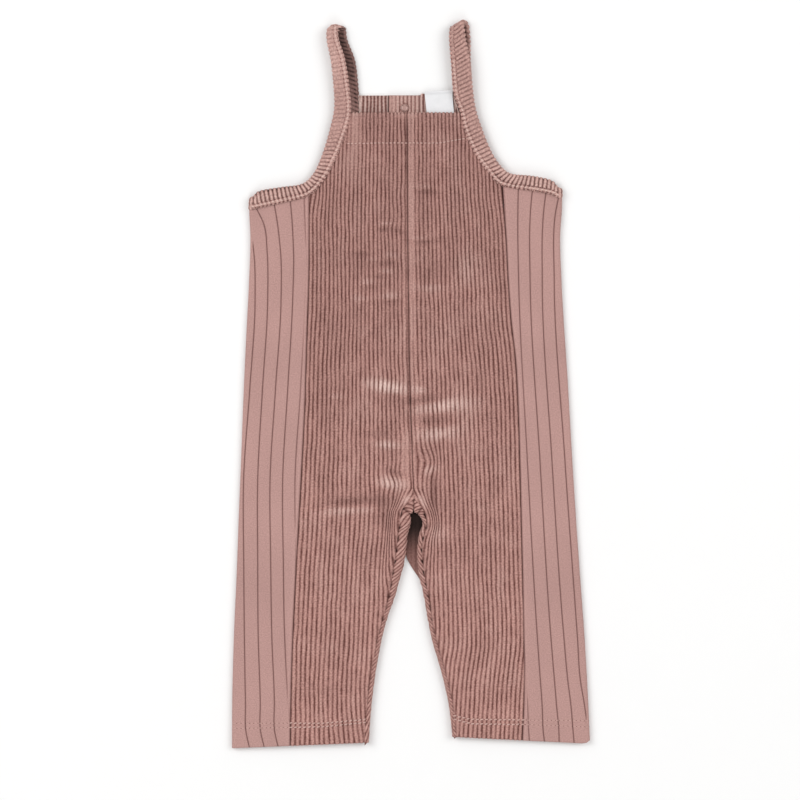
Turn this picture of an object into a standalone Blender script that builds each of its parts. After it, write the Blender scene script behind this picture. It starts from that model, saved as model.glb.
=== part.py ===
"""Baby romper with looped shoulder straps, laid flat with its front up.

Metres, +Z up. The back rests on Z = 0, +Y runs from the hems to the straps and +X is the
right of someone who looks down on the front. Sizes below are in millimetres.

The cloth lies in two layers. Each side panel is one sheet folded round the side. Each back
panel rolls over the inside of its leg and meets the front panel in a seam on top. Each
armhole has one strip that binds its front edge, goes on as the strap, turns back on itself
and binds the back edge.
"""

import math
from collections import namedtuple

import bmesh
import bpy
import numpy as np

MM = 0.001
OBJECT_NAME = "baby_romper"

# Walls. A hem is the cloth turned in once and stitched down, so its wall is thicker.
CORD_WALL = 1.5
CORD_HEM_WALL = 2.4
KNIT_WALL = 1.2
KNIT_HEM_WALL = 2.0
BINDING_WALL = 2.8
PLACKET_WALL = 1.2
LABEL_WALL = 0.6
SEAM_GAP = 0.3
LAYER_GAP = 0.3
UNDERARM_GAP = 0.7

# Lengths along the garment
NECK_Y = 217.4
BACK_NECK_Y = 231.2
HEM_Y = -287.0
NECK_HEM_DEPTH = 25.0
LEG_HEM_DEPTH = 17.0
HEM_STEP = 3.0
KNIT_BELOW_CORD = 0.6

# The hems lie a little askew: each drops or rises along its own line, from this height down.
HEM_TILT_FROM_Y = -205.0
LEFT_HEM_AT, LEFT_HEM_RISE, LEFT_HEM_SLOPE = -33.4, 0.0, 0.0419
RIGHT_HEM_AT, RIGHT_HEM_RISE, RIGHT_HEM_SLOPE = 32.5, 4.6, -0.0505

# Back neck opening
PLACKET_LEFT, PLACKET_RIGHT, PLACKET_END_Y = -18.4, 6.2, 140.0
OPENING_X = 6.4
OPENING_END_Y, OPENING_JOG_Y = 138.0, 116.0
SNAP_X, SNAP_Y = -5.2, 221.1
SNAP_RADIUS, SNAP_HOLE_CLEARANCE = 3.2, 0.3
SNAP_BEAD_HEIGHT, SNAP_DISH_DEPTH = 0.7, 0.45
SNAP_BEAD_WIDTH = 0.9

# Steps across each sheet
FRONT_COLUMNS, BACK_COLUMNS, SIDE_BACK_COLUMNS = 8, 5, 4
FOLD_STEPS, ROLL_FLAT_COLUMNS, SIDE_FLAT_COLUMNS = 4, 2, 5
RING_COLUMNS, RING_STEPS_PER_SPAN, ARC_STEPS = 2, 2, 6

BodyRow = namedtuple("BodyRow", "y left_fold left_seam right_seam right_fold")
BODY = [
    BodyRow(160, -128.4, -81.5, 72.6, 121.0),
    BodyRow(140, -129.6, -81.6, 74.2, 120.9),
    BodyRow(120, -128.7, -81.6, 76.0, 119.6),
    BodyRow(83, -129.7, -81.9, 78.0, 120.6),
    BodyRow(50, -131.4, -83.1, 80.4, 122.4),
    BodyRow(20, -132.9, -84.0, 83.8, 124.5),
    BodyRow(-20, -134.6, -85.2, 86.0, 126.9),
    BodyRow(-60, -136.1, -87.2, 87.2, 129.2),
    BodyRow(-104, -137.9, -89.6, 88.3, 132.0),
    BodyRow(-150, -139.6, -92.2, 89.4, 135.2),
    BodyRow(-205, -142.0, -94.8, 90.4, 139.2),
    BodyRow(-250, -143.2, -96.2, 90.6, 141.8),
    BodyRow(-287, -143.4, -96.8, 89.2, 143.4),
]

# Height of the top cloth over the floor: at the side fold, at the side seam, at the inner
# edge (centre seam or inseam), and how much higher it lies halfway between the last two.
HeightRow = namedtuple("HeightRow", "y fold seam inner bulge")
HEIGHTS = [
    HeightRow(218, 4.8, 6.8, 6.8, 0.0),
    HeightRow(203, 4.8, 6.8, 6.8, 0.0),
    HeightRow(188, 4.8, 6.4, 6.2, 0.2),
    HeightRow(150, 4.8, 5.6, 5.4, 0.7),
    HeightRow(60, 4.2, 5.2, 5.2, 0.9),
    HeightRow(-40, 4.2, 5.2, 5.6, 0.8),
    HeightRow(-104, 4.2, 5.2, 6.2, 0.7),
    HeightRow(-205, 4.4, 5.4, 6.2, 0.6),
    HeightRow(-266, 5.0, 6.4, 6.7, 0.3),
    HeightRow(-287, 5.4, 6.8, 6.8, 0.0),
]

CentreRow = namedtuple("CentreRow", "y x")
CENTRE_FRONT = [
    CentreRow(218, -3.4),
    CentreRow(120, -2.8),
    CentreRow(83, -2.4),
    CentreRow(0, -1.2),
    CentreRow(-45, 0.4),
    CentreRow(-82, 1.7),
    CentreRow(-92, 2.4),
    CentreRow(-110, 2.2),
]

# Inside of each leg, from the crotch to the hem: the rolled edge, and the inseam on top.
LegRow = namedtuple("LegRow", "edge_x edge_y seam_x seam_y")
LEFT_LEG = [
    LegRow(2.0, -102.8, 2.4, -92.0),
    LegRow(0.3, -104.6, -6.4, -99.4),
    LegRow(0.2, -108.0, -8.4, -106.0),
    LegRow(0.2, -112.5, -9.2, -112.5),
    LegRow(-1.9, -119, -10.0, -119),
    LegRow(-2.9, -128, -11.2, -128),
    LegRow(-4.0, -137, -12.2, -137),
    LegRow(-5.6, -146, -13.8, -146),
    LegRow(-8.2, -155, -15.3, -155),
    LegRow(-12.4, -170, -17.6, -170),
    LegRow(-18.4, -187, -22.2, -187),
    LegRow(-23.2, -205, -27.0, -205),
    LegRow(-28.4, -234, -32.2, -234),
    LegRow(-31.0, -255, -34.8, -255),
    LegRow(-32.4, -270, -36.2, -270),
    LegRow(-32.6, -273, -36.4, -273),
    LegRow(-33.4, -287, -37.2, -287),
]
RIGHT_LEG = [
    LegRow(2.0, -102.8, 2.4, -92.0),
    LegRow(5.0, -104.2, 8.8, -98.8),
    LegRow(7.6, -107.4, 11.4, -105.5),
    LegRow(8.8, -112.5, 12.6, -112.5),
    LegRow(6.4, -119, 11.4, -119),
    LegRow(4.9, -128, 9.2, -128),
    LegRow(4.6, -137, 8.8, -137),
    LegRow(5.2, -146, 9.8, -146),
    LegRow(6.4, -155, 11.2, -155),
    LegRow(10.0, -170, 14.0, -170),
    LegRow(12.8, -187, 16.6, -187),
    LegRow(16.6, -205, 20.4, -205),
    LegRow(24.4, -234, 28.2, -234),
    LegRow(29.0, -255, 32.8, -255),
    LegRow(31.2, -270, 35.0, -270),
    LegRow(31.5, -273, 35.3, -273),
    LegRow(32.8, -287, 36.6, -287),
]

# One armhole strip: its free edge, its seamed edge and its height on the front run, and how
# far the back run lies beside the front one. The last four rows of each are the strap.
RingRow = namedtuple("RingRow", "free_x free_y seam_x seam_y z back_shift")
SEAM_CORNER = 3
BIB_CORNER = 8
LEFT_RING = [
    RingRow(-125.6, 149.6, -126.5, 140.4, 6.2, 0.0),
    RingRow(-121.0, 153.8, -119.0, 142.2, 6.2, 0.0),
    RingRow(-104.0, 156.8, -102.0, 146.0, 6.2, 0.0),
    RingRow(-87.0, 159.4, -81.5, 151.6, 6.2, 0.0),
    RingRow(-77.6, 167.8, -69.6, 164.6, 6.3, 1.6),
    RingRow(-71.8, 179.6, -62.2, 177.6, 6.4, 3.4),
    RingRow(-67.0, 193.6, -56.2, 191.6, 6.6, 5.0),
    RingRow(-63.2, 207.6, -51.4, 205.6, 6.8, 6.4),
    RingRow(-60.8, 219.6, -48.8, 217.4, 6.8, 7.2),
    RingRow(-60.8, 233.0, -48.8, 231.2, 7.4, 7.2),
    RingRow(-63.2, 257.5, -51.8, 257.5, 8.0, 8.2),
    RingRow(-66.6, 274.5, -56.0, 275.0, 8.0, 5.4),
    RingRow(-66.8, 283.0, -56.4, 284.6, 8.0, 3.4),
]
RIGHT_RING = [
    RingRow(117.2, 156.8, 117.4, 149.8, 6.2, 0.0),
    RingRow(112.0, 162.4, 111.0, 152.6, 6.2, 0.0),
    RingRow(97.0, 165.8, 95.0, 155.4, 6.2, 0.0),
    RingRow(80.5, 167.4, 72.6, 159.4, 6.2, 0.0),
    RingRow(72.6, 172.6, 62.6, 169.4, 6.3, -0.4),
    RingRow(65.4, 182.6, 54.2, 180.6, 6.4, -0.8),
    RingRow(59.8, 194.6, 47.6, 192.6, 6.6, -1.2),
    RingRow(55.2, 207.0, 42.8, 205.0, 6.8, -1.4),
    RingRow(52.2, 219.0, 40.2, 217.4, 6.8, -1.4),
    RingRow(50.0, 232.0, 35.2, 231.2, 7.4, 0.6),
    RingRow(47.2, 257.5, 32.6, 257.5, 8.0, 1.6),
    RingRow(43.6, 275.0, 31.2, 275.0, 8.0, 4.4),
    RingRow(41.8, 286.4, 31.4, 283.8, 8.0, 4.2),
]
# How far each edge of a strip swings out where it turns over, at the strap's top and under
# the arm.
TurnRow = namedtuple("TurnRow", "free_x free_y seam_x seam_y")
LEFT_STRAP_TURN = TurnRow(0.4, 4.2, 0.6, 4.4)
RIGHT_STRAP_TURN = TurnRow(-0.4, 5.2, -0.6, 4.2)
LEFT_UNDERARM_TURN = TurnRow(-3.0, -0.5, -3.1, 0.0)
RIGHT_UNDERARM_TURN = TurnRow(3.2, -0.5, 3.3, 0.0)

# The largest creases of the front, as soft ridges
Crease = namedtuple("Crease", "x y half_length half_width height angle")
CREASES = [
    Crease(-20.8, -3.0, 17.0, 5.0, 0.8, 4.0),
    Crease(13.0, -19.5, 12.0, 4.0, 0.7, -6.0),
    Crease(12.0, -38.0, 12.0, 4.0, 0.6, 5.0),
    Crease(-21.0, -49.0, 16.0, 4.5, 0.7, -3.0),
    Crease(-20.0, -73.0, 14.0, 4.5, 0.6, 6.0),
    Crease(13.0, 124.0, 12.0, 5.0, 0.5, -10.0),
    Crease(-37.0, -97.0, 16.0, 5.0, 0.5, 8.0),
]
CREASED_FROM_Y, CREASED_TO_Y, CREASED_STEP = 16.0, -86.0, 6.0

LABEL_CORNERS = [(10.8, 233.8), (32.6, 234.4), (34.0, 210.0), (13.4, 209.4)]
LABEL_Z = 2.7

ROSE_CORD = (0.50, 0.29, 0.265)
ROSE_KNIT = (0.52, 0.32, 0.285)
ROSE_METAL = (0.50, 0.36, 0.34)
LABEL_WHITE = (0.85, 0.85, 0.86)


def clear_scene():
    """Remove every object of the scene."""
    for obj in list(bpy.data.objects):
        bpy.data.objects.remove(obj, do_unlink=True)


def make_collection(name):
    """Add a collection of this name to the scene."""
    found = bpy.data.collections.new(name)
    bpy.context.scene.collection.children.link(found)
    return found


def make_material(name, colour, roughness, metallic=0.0):
    """A Principled BSDF material in one colour."""
    material = bpy.data.materials.new(name)
    material.use_nodes = True
    shader = material.node_tree.nodes["Principled BSDF"]
    shader.inputs["Base Color"].default_value = (*colour, 1.0)
    shader.inputs["Roughness"].default_value = roughness
    shader.inputs["Metallic"].default_value = metallic
    material.diffuse_color = (*colour, 1.0)
    return material


def at(table, column, y):
    """The column's value at height y, on a smooth curve through the table's rows."""
    heights = np.array([row.y for row in table], float)[::-1]
    values = np.array([getattr(row, column) for row in table], float)[::-1]
    slopes = np.gradient(values, heights)
    k = int(np.clip(np.searchsorted(heights, y) - 1, 0, len(heights) - 2))
    span = heights[k + 1] - heights[k]
    t = float(np.clip((y - heights[k]) / span, 0.0, 1.0))
    start = values[k] * (1 + 2 * t) * (1 - t) ** 2 + slopes[k] * span * t * (1 - t) ** 2
    end = values[k + 1] * t * t * (3 - 2 * t) - slopes[k + 1] * span * t * t * (1 - t)
    return start + end


def body_x(column, y):
    """Where this line of the body runs at height y, straight between the table's rows."""
    rows = BODY[::-1]
    return float(np.interp(y, [row.y for row in rows], [getattr(row, column) for row in rows]))


def body_rows_between(top, bottom):
    """The heights of the body table's rows that lie between these two."""
    return [float(row.y) for row in BODY if bottom < row.y < top]


def smooth_rows(rows, steps):
    """Catmull-Rom rows through these rows, with so many steps from each to the next."""
    rows = np.asarray(rows, float)
    padded = np.vstack([2 * rows[0] - rows[1], rows, 2 * rows[-1] - rows[-2]])
    found = []
    for k in range(len(rows) - 1):
        before, start, end, after = padded[k : k + 4]
        for step in range(steps):
            t = step / steps
            found.append(
                0.5
                * (
                    2 * start
                    + (end - before) * t
                    + (2 * before - 5 * start + 4 * end - after) * t**2
                    + (3 * start - before - 3 * end + after) * t**3
                )
            )
    found.append(rows[-1])
    return np.array(found)


def ease(t):
    """A smooth step from 0 to 1."""
    t = min(max(t, 0.0), 1.0)
    return t * t * (3 - 2 * t)


def crease_height(x, y):
    """How much the creases lift the top cloth at this place."""
    total = 0.0
    for crease in CREASES:
        turn = math.radians(crease.angle)
        dx, dy = x - crease.x, y - crease.y
        along = dx * math.cos(turn) + dy * math.sin(turn)
        across = dy * math.cos(turn) - dx * math.sin(turn)
        reach = (along / crease.half_length) ** 2 + (across / crease.half_width) ** 2
        total += crease.height * math.exp(-reach)
    return total


def with_hem_tilt(x, y):
    """The height along the garment, once the hem lies askew."""
    t = (HEM_TILT_FROM_Y - y) / (HEM_TILT_FROM_Y - HEM_Y)
    if x < 0:
        tilt = LEFT_HEM_RISE + LEFT_HEM_SLOPE * (x - LEFT_HEM_AT)
    else:
        tilt = RIGHT_HEM_RISE + RIGHT_HEM_SLOPE * (x - RIGHT_HEM_AT)
    return y + min(max(t, 0.0), 1.0) * tilt


def top_height(y, across):
    """Height of the corduroy front, from its side seam (0) to its inner edge (1)."""
    seam, inner = at(HEIGHTS, "seam", y), at(HEIGHTS, "inner", y)
    bulge = at(HEIGHTS, "bulge", y) * math.sin(math.pi * across)
    return seam + (inner - seam) * ease(across) + bulge


def is_leg_hem(y):
    """Whether this height lies in the turned hem of the leg."""
    return y < HEM_Y + LEG_HEM_DEPTH - HEM_STEP / 2


def rolled_section(edge, inward, radius, reach, flat_columns, rise=0.0):
    """Points from the floor round a rolled edge and on along the top.

    The edge is its outermost place and inward a unit vector, both in plan. The section
    ends at this reach from the edge, and the top climbs by rise on its way.
    """
    points = []
    for k in range(FOLD_STEPS + 1):
        angle = math.pi * k / FOLD_STEPS
        place = edge + inward * radius * (1 - math.sin(angle))
        points.append((place[0], place[1], radius * (1 - math.cos(angle))))
    for k in range(1, flat_columns + 1):
        way = k / flat_columns
        place = edge + inward * (radius + (reach - radius) * way)
        points.append((place[0], place[1], 2 * radius + rise * ease(way)))
    return points


def centre_back_x(y):
    """Where the two back panels meet: beside the opening, and below it at the centre."""
    below = at(CENTRE_FRONT, "x", y)
    t = (y - OPENING_JOG_Y) / (OPENING_END_Y - OPENING_JOG_Y)
    return below + (OPENING_X - below) * min(max(t, 0.0), 1.0)


def ring_front_rows(rows):
    """The front run of an armhole strip as free_x, free_y, seam_x, seam_y, z."""
    return smooth_rows([row[:5] for row in rows], RING_STEPS_PER_SPAN)


def ring_back_rows(rows):
    """The back run, on the floor beside the front one."""
    shifted = [
        (row.free_x + row.back_shift, row.free_y, row.seam_x + row.back_shift, row.seam_y, 0)
        for row in rows
    ]
    return smooth_rows(shifted, RING_STEPS_PER_SPAN)


def armhole_edge(run):
    """The seamed edge of a run in plan, from the bib corner down to the seam corner."""
    first = SEAM_CORNER * RING_STEPS_PER_SPAN
    last = BIB_CORNER * RING_STEPS_PER_SPAN
    return run[first : last + 1, 2:4][::-1]


def underarm_edge(run):
    """The seamed edge of a run in plan, from the side fold to the seam corner."""
    return run[: SEAM_CORNER * RING_STEPS_PER_SPAN + 1, 2:4]


def even_rows_between(top, bottom, step):
    """Heights from just under the top to just over the bottom, evenly spaced."""
    count = max(1, round((top - bottom) / step))
    return [top + (bottom - top) * k / count for k in range(1, count)]


def add_grid(bm, points, weights, layer, closed=False):
    """Add a grid of quads, and write each vertex's share of the full wall."""
    made = []
    for row, shares in zip(points, weights):
        line = [bm.verts.new([value * MM for value in place]) for place in row]
        for vertex, share in zip(line, shares):
            vertex[layer][0] = share
        made.append(line)
    pairs = list(zip(made, made[1:]))
    if closed:
        pairs.append((made[-1], made[0]))
    for upper, lower in pairs:
        for j in range(len(upper) - 1):
            bm.faces.new((upper[j], lower[j], lower[j + 1], upper[j + 1]))


def make_sheet(name, grids, wall, material, collection, closed=False, flip=False):
    """A cloth sheet: its outer face from grids that share edges, walled inward.

    Each grid is a pair of points and shares of the wall, both by row and column.
    """
    mesh = bpy.data.meshes.new(name)
    obj = bpy.data.objects.new(name, mesh)
    group = obj.vertex_groups.new(name="ply")
    bm = bmesh.new()
    layer = bm.verts.layers.deform.verify()
    for points, weights in grids:
        add_grid(bm, points, weights, layer, closed)
    bmesh.ops.remove_doubles(bm, verts=bm.verts, dist=0.001 * MM)
    if flip:
        bmesh.ops.reverse_faces(bm, faces=bm.faces)
    bm.to_mesh(mesh)
    bm.free()
    mesh.materials.append(material)
    mesh.shade_smooth()
    collection.objects.link(obj)
    solidify = obj.modifiers.new("wall", "SOLIDIFY")
    solidify.thickness = wall * MM
    solidify.offset = -1.0
    solidify.use_even_offset = True
    solidify.vertex_group = group.name
    return obj


def leg_stations(rows, side):
    """(edge, inward, reach, seam) of each leg row, with half a gap kept at the inseam."""
    stations = []
    for row in rows:
        edge = np.array([row.edge_x, row.edge_y], float)
        seam = np.array([row.seam_x, row.seam_y], float)
        reach = float(np.linalg.norm(seam - edge))
        inward = (seam - edge) / reach
        if row is rows[0]:
            edge = edge + np.array([side * SEAM_GAP / 2, 0.0])
            seam = seam + np.array([side * SEAM_GAP / 2, 0.0])
        stations.append((edge, inward, reach - SEAM_GAP / 2, seam + inward * SEAM_GAP / 2))
    return stations


def front_panel(side, ring_rows, leg_rows, material, collection):
    """One half of the front: bib, body and leg front in one sheet."""
    seam_column = "left_seam" if side < 0 else "right_seam"
    armhole = armhole_edge(ring_front_rows(ring_rows))
    ends = []
    for x, y in armhole:
        ends.append(((x - side * SEAM_GAP, y), (at(CENTRE_FRONT, "x", y), y)))
    heights = body_rows_between(armhole[-1][1] - 4.0, CREASED_FROM_Y)
    heights += [CREASED_FROM_Y]
    heights += even_rows_between(CREASED_FROM_Y, CREASED_TO_Y, CREASED_STEP)
    heights += [CREASED_TO_Y]
    for y in heights:
        ends.append(((body_x(seam_column, y), y), (at(CENTRE_FRONT, "x", y), y)))
    ends = [
        (outer, (inner[0] + side * SEAM_GAP / 2, inner[1])) for outer, inner in ends
    ]
    for _, _, _, seam in leg_stations(leg_rows, side):
        ends.append(((body_x(seam_column, seam[1]), seam[1]), tuple(seam)))
    points, weights = [], []
    for outer, inner in ends:
        outer = np.array(outer) - np.array([side * SEAM_GAP / 2, 0.0])
        inner = np.array(inner)
        line, shares = [], []
        for k in range(FRONT_COLUMNS + 1):
            across = k / FRONT_COLUMNS
            x, y = outer + (inner - outer) * across
            z = top_height(y, across) + crease_height(x, y)
            hemmed = y > NECK_Y - NECK_HEM_DEPTH or is_leg_hem(y)
            line.append((x, with_hem_tilt(x, y), z))
            shares.append(1.0 if hemmed else CORD_WALL / CORD_HEM_WALL)
        points.append(line)
        weights.append(shares)
    name = "front_panel_left" if side < 0 else "front_panel_right"
    return make_sheet(
        name, [(points, weights)], CORD_HEM_WALL, material, collection, flip=side > 0
    )


def back_panel(side, ring_rows, leg_rows, material, collection):
    """One half of the back, with the strip that rolls up over the inside of the leg."""
    seam_column = "left_seam" if side < 0 else "right_seam"
    armhole = armhole_edge(ring_back_rows(ring_rows))
    strap_foot = ring_back_rows(ring_rows)[(BIB_CORNER + 1) * RING_STEPS_PER_SPAN]
    ends = [((strap_foot[2] - side * SEAM_GAP, BACK_NECK_Y), BACK_NECK_Y)]
    for x, y in armhole:
        ends.append(((x - side * SEAM_GAP, y), y))
    stations = leg_stations(leg_rows, side)
    crotch_y = stations[0][0][1] + at(HEIGHTS, "inner", stations[0][0][1]) / 2
    heights = [OPENING_END_Y, OPENING_JOG_Y] + body_rows_between(OPENING_JOG_Y, crotch_y)
    for y in heights:
        ends.append(((body_x(seam_column, y), y), y))
    lines = []
    for outer, y in ends:
        lines.append((outer, (centre_back_x(y) + side * SEAM_GAP / 2, y)))
    rolls = []
    for edge, inward, reach, _ in stations:
        radius = at(HEIGHTS, "inner", edge[1]) / 2
        section = rolled_section(edge, inward, radius, reach, ROLL_FLAT_COLUMNS)
        foot = section[0]
        lines.append(((body_x(seam_column, foot[1]), foot[1]), foot[:2]))
        rolls.append(section)
    flat_points, flat_weights = [], []
    for outer, inner in lines:
        outer = np.array(outer) - np.array([side * SEAM_GAP / 2, 0.0])
        inner = np.array(inner)
        line, shares = [], []
        for k in range(BACK_COLUMNS + 1):
            x, y = outer + (inner - outer) * k / BACK_COLUMNS
            hemmed = y > BACK_NECK_Y - NECK_HEM_DEPTH or is_leg_hem(y)
            line.append((x, with_hem_tilt(x, y), 0.0))
            shares.append(1.0 if hemmed else CORD_WALL / CORD_HEM_WALL)
        flat_points.append(line)
        flat_weights.append(shares)
    roll_points, roll_weights = [], []
    for section in rolls:
        share = 1.0 if is_leg_hem(section[0][1]) else CORD_WALL / CORD_HEM_WALL
        roll_points.append([(x, with_hem_tilt(x, y), z) for x, y, z in section])
        roll_weights.append([share] * len(section))
    grids = [(flat_points, flat_weights), (roll_points, roll_weights)]
    name = "back_panel_left" if side < 0 else "back_panel_right"
    return make_sheet(name, grids, CORD_HEM_WALL, material, collection, flip=side < 0)


def side_panel(side, ring_rows, material, collection):
    """One side panel: from the back seam round the side fold to the front seam."""
    fold_column = "left_fold" if side < 0 else "right_fold"
    seam_column = "left_seam" if side < 0 else "right_seam"
    turn = LEFT_UNDERARM_TURN if side < 0 else RIGHT_UNDERARM_TURN
    edge_line = underarm_edge(ring_front_rows(ring_rows))
    tip = edge_line[0] + np.array([turn.seam_x, turn.seam_y])
    line_x = side * np.concatenate([edge_line[::-1, 0], tip[:1]])
    line_y = np.concatenate([edge_line[::-1, 1], tip[1:]])
    start_y = tip[1]
    heights = [start_y, start_y - 8.0, start_y - 20.0]
    heights += body_rows_between(start_y - 24.0, HEM_Y + LEG_HEM_DEPTH)
    heights += [HEM_Y + LEG_HEM_DEPTH, HEM_Y + LEG_HEM_DEPTH - HEM_STEP, HEM_Y]
    points, weights = [], []
    for k, nominal in enumerate(heights):
        follow = (1.0, 0.6, 0.2)[k] if k < 3 else 0.0
        fold_x = body_x(fold_column, nominal)
        seam_x = body_x(seam_column, nominal) + side * SEAM_GAP / 2
        radius = at(HEIGHTS, "fold", nominal) / 2
        rise = at(HEIGHTS, "seam", nominal) - KNIT_BELOW_CORD - 2 * radius
        edge, inward = np.array([fold_x, 0.0]), np.array([-float(side), 0.0])
        reach = abs(fold_x - seam_x)
        top = rolled_section(edge, inward, radius, reach, SIDE_FLAT_COLUMNS, rise)
        foot = fold_x - side * radius
        share = 1.0 if is_leg_hem(nominal) else KNIT_WALL / KNIT_HEM_WALL
        floor = []
        for step in range(SIDE_BACK_COLUMNS):
            floor.append((seam_x + (foot - seam_x) * step / SIDE_BACK_COLUMNS, 0.0, 0.0))
        line = []
        for x, _, z in floor + top:
            edge_y = np.interp(side * x, line_x, line_y)
            y = nominal + follow * (edge_y - start_y) - UNDERARM_GAP * follow
            line.append((x, with_hem_tilt(x, y), z))
        points.append(line)
        weights.append([share] * len(line))
    name = "side_panel_left" if side < 0 else "side_panel_right"
    return make_sheet(
        name, [(points, weights)], KNIT_HEM_WALL, material, collection, flip=side > 0
    )


def turned_rows(start, end, turn):
    """Rows between two runs, where the strip turns over from one height to the other."""
    swing = np.array([*turn, 0.0])
    rows = []
    for k in range(1, ARC_STEPS):
        angle = math.pi * k / ARC_STEPS
        middle = start + (end - start) * (1 - math.cos(angle)) / 2
        rows.append(middle + swing * math.sin(angle))
    return rows


def armhole_strip(side, ring_rows, strap_turn, underarm_turn, material, collection):
    """One armhole strip, a closed ring: front binding, strap and back binding."""
    front = ring_front_rows(ring_rows)
    back = ring_back_rows(ring_rows)[::-1]
    ring = list(front)
    ring += turned_rows(front[-1], back[0], strap_turn)
    ring += list(back)
    ring += turned_rows(back[-1], front[0], underarm_turn)
    points, weights = [], []
    for free_x, free_y, seam_x, seam_y, z in ring:
        line = []
        for k in range(RING_COLUMNS + 1):
            t = k / RING_COLUMNS
            line.append((free_x + (seam_x - free_x) * t, free_y + (seam_y - free_y) * t, z))
        points.append(line)
        weights.append([1.0] * len(line))
    name = "armhole_strip_left" if side < 0 else "armhole_strip_right"
    return make_sheet(
        name,
        [(points, weights)],
        BINDING_WALL,
        material,
        collection,
        closed=True,
        flip=side < 0,
    )


def back_placket(material, collection):
    """The strip over the back opening, on the inside of the back panels."""
    hem_end = BACK_NECK_Y - NECK_HEM_DEPTH
    rows = [(BACK_NECK_Y, CORD_HEM_WALL), (hem_end - 8, CORD_HEM_WALL)]
    rows += [(hem_end - 16, CORD_WALL), (PLACKET_END_Y, CORD_WALL)]
    points = []
    for y, under in rows:
        z = under + LAYER_GAP + PLACKET_WALL
        points.append([(PLACKET_LEFT, y, z), (PLACKET_RIGHT, y, z)])
    weights = [[1.0, 1.0] for _ in points]
    return make_sheet(
        "back_placket", [(points, weights)], PLACKET_WALL, material, collection
    )


def neck_label(material, collection):
    """The bare label on the inside of the back neck."""
    top_left, top_right, bottom_right, bottom_left = LABEL_CORNERS
    z = LABEL_Z + LABEL_WALL
    points = [[(*top_left, z), (*top_right, z)], [(*bottom_left, z), (*bottom_right, z)]]
    weights = [[1.0, 1.0], [1.0, 1.0]]
    return make_sheet("neck_label", [(points, weights)], LABEL_WALL, material, collection)


def turned_piece(name, profile, material, collection):
    """A round piece on the snap's axis, from (radius, height) points, top to bottom."""
    mesh = bpy.data.meshes.new(name)
    obj = bpy.data.objects.new(name, mesh)
    bm = bmesh.new()
    line = [bm.verts.new((radius * MM, 0.0, z * MM)) for radius, z in profile]
    for upper, lower in zip(line, line[1:]):
        bm.edges.new((upper, lower))
    bm.to_mesh(mesh)
    bm.free()
    mesh.materials.append(material)
    obj.location = (SNAP_X * MM, SNAP_Y * MM, 0.0)
    screw = obj.modifiers.new("turn", "SCREW")
    screw.steps = screw.render_steps = 24
    screw.use_merge_vertices = True
    screw.merge_threshold = 0.01 * MM
    screw.use_smooth_shade = False
    collection.objects.link(obj)
    return obj


def snap_halves(material, collection):
    """The snap: a ring half in the placket and a stud half in the back panel."""
    placket_foot = CORD_HEM_WALL + LAYER_GAP
    rim = placket_foot + PLACKET_WALL + SNAP_BEAD_HEIGHT
    dish = rim - SNAP_DISH_DEPTH
    inner = SNAP_RADIUS - SNAP_BEAD_WIDTH
    ring = [(0.0, dish), (inner - 0.2, dish), (inner, rim), (SNAP_RADIUS - 0.2, rim)]
    ring += [(SNAP_RADIUS, rim - 0.25), (SNAP_RADIUS, placket_foot), (0.0, placket_foot)]
    stud = [(0.0, CORD_HEM_WALL), (SNAP_RADIUS, CORD_HEM_WALL), (SNAP_RADIUS, 0.0)]
    stud += [(0.0, 0.0)]
    turned_piece("snap_ring_half", ring, material, collection)
    turned_piece("snap_stud_half", stud, material, collection)


def cut_snap_hole(pieces, cutters):
    """Cut the hole that the snap passes through, in each of these pieces."""
    bpy.ops.mesh.primitive_cylinder_add(
        vertices=24,
        radius=(SNAP_RADIUS + SNAP_HOLE_CLEARANCE) * MM,
        depth=20 * MM,
        location=(SNAP_X * MM, SNAP_Y * MM, 0.0),
    )
    cutter = bpy.context.object
    cutter.name = "snap_hole_cutter"
    cutter.hide_render = True
    cutter.display_type = "WIRE"
    for owner in list(cutter.users_collection):
        owner.objects.unlink(cutter)
    cutters.objects.link(cutter)
    for piece in pieces:
        cut = piece.modifiers.new("snap_hole", "BOOLEAN")
        cut.operation = "DIFFERENCE"
        cut.object = cutter


def main():
    clear_scene()
    collection = make_collection(OBJECT_NAME)
    cutters = make_collection("cutters")
    knit = {}
    cord = {}
    for piece in ("front_left", "front_right", "back_left", "back_right"):
        cord[piece] = make_material(f"{piece}_corduroy", ROSE_CORD, 0.9)
    for piece in ("strip_left", "strip_right", "placket"):
        cord[piece] = make_material(f"{piece}_corduroy", ROSE_CORD, 0.9)
    for piece in ("side_left", "side_right"):
        knit[piece] = make_material(f"{piece}_rib_jersey", ROSE_KNIT, 0.85)
    front_panel(-1, LEFT_RING, LEFT_LEG, cord["front_left"], collection)
    front_panel(1, RIGHT_RING, RIGHT_LEG, cord["front_right"], collection)
    back_left = back_panel(-1, LEFT_RING, LEFT_LEG, cord["back_left"], collection)
    back_panel(1, RIGHT_RING, RIGHT_LEG, cord["back_right"], collection)
    side_panel(-1, LEFT_RING, knit["side_left"], collection)
    side_panel(1, RIGHT_RING, knit["side_right"], collection)
    armhole_strip(
        -1, LEFT_RING, LEFT_STRAP_TURN, LEFT_UNDERARM_TURN, cord["strip_left"], collection
    )
    armhole_strip(
        1, RIGHT_RING, RIGHT_STRAP_TURN, RIGHT_UNDERARM_TURN, cord["strip_right"], collection
    )
    placket = back_placket(cord["placket"], collection)
    neck_label(make_material("label_satin", LABEL_WHITE, 0.5), collection)
    snap_halves(make_material("snap_metal", ROSE_METAL, 0.4, 0.6), collection)
    cut_snap_hole([back_left, placket], cutters)


main()
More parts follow.
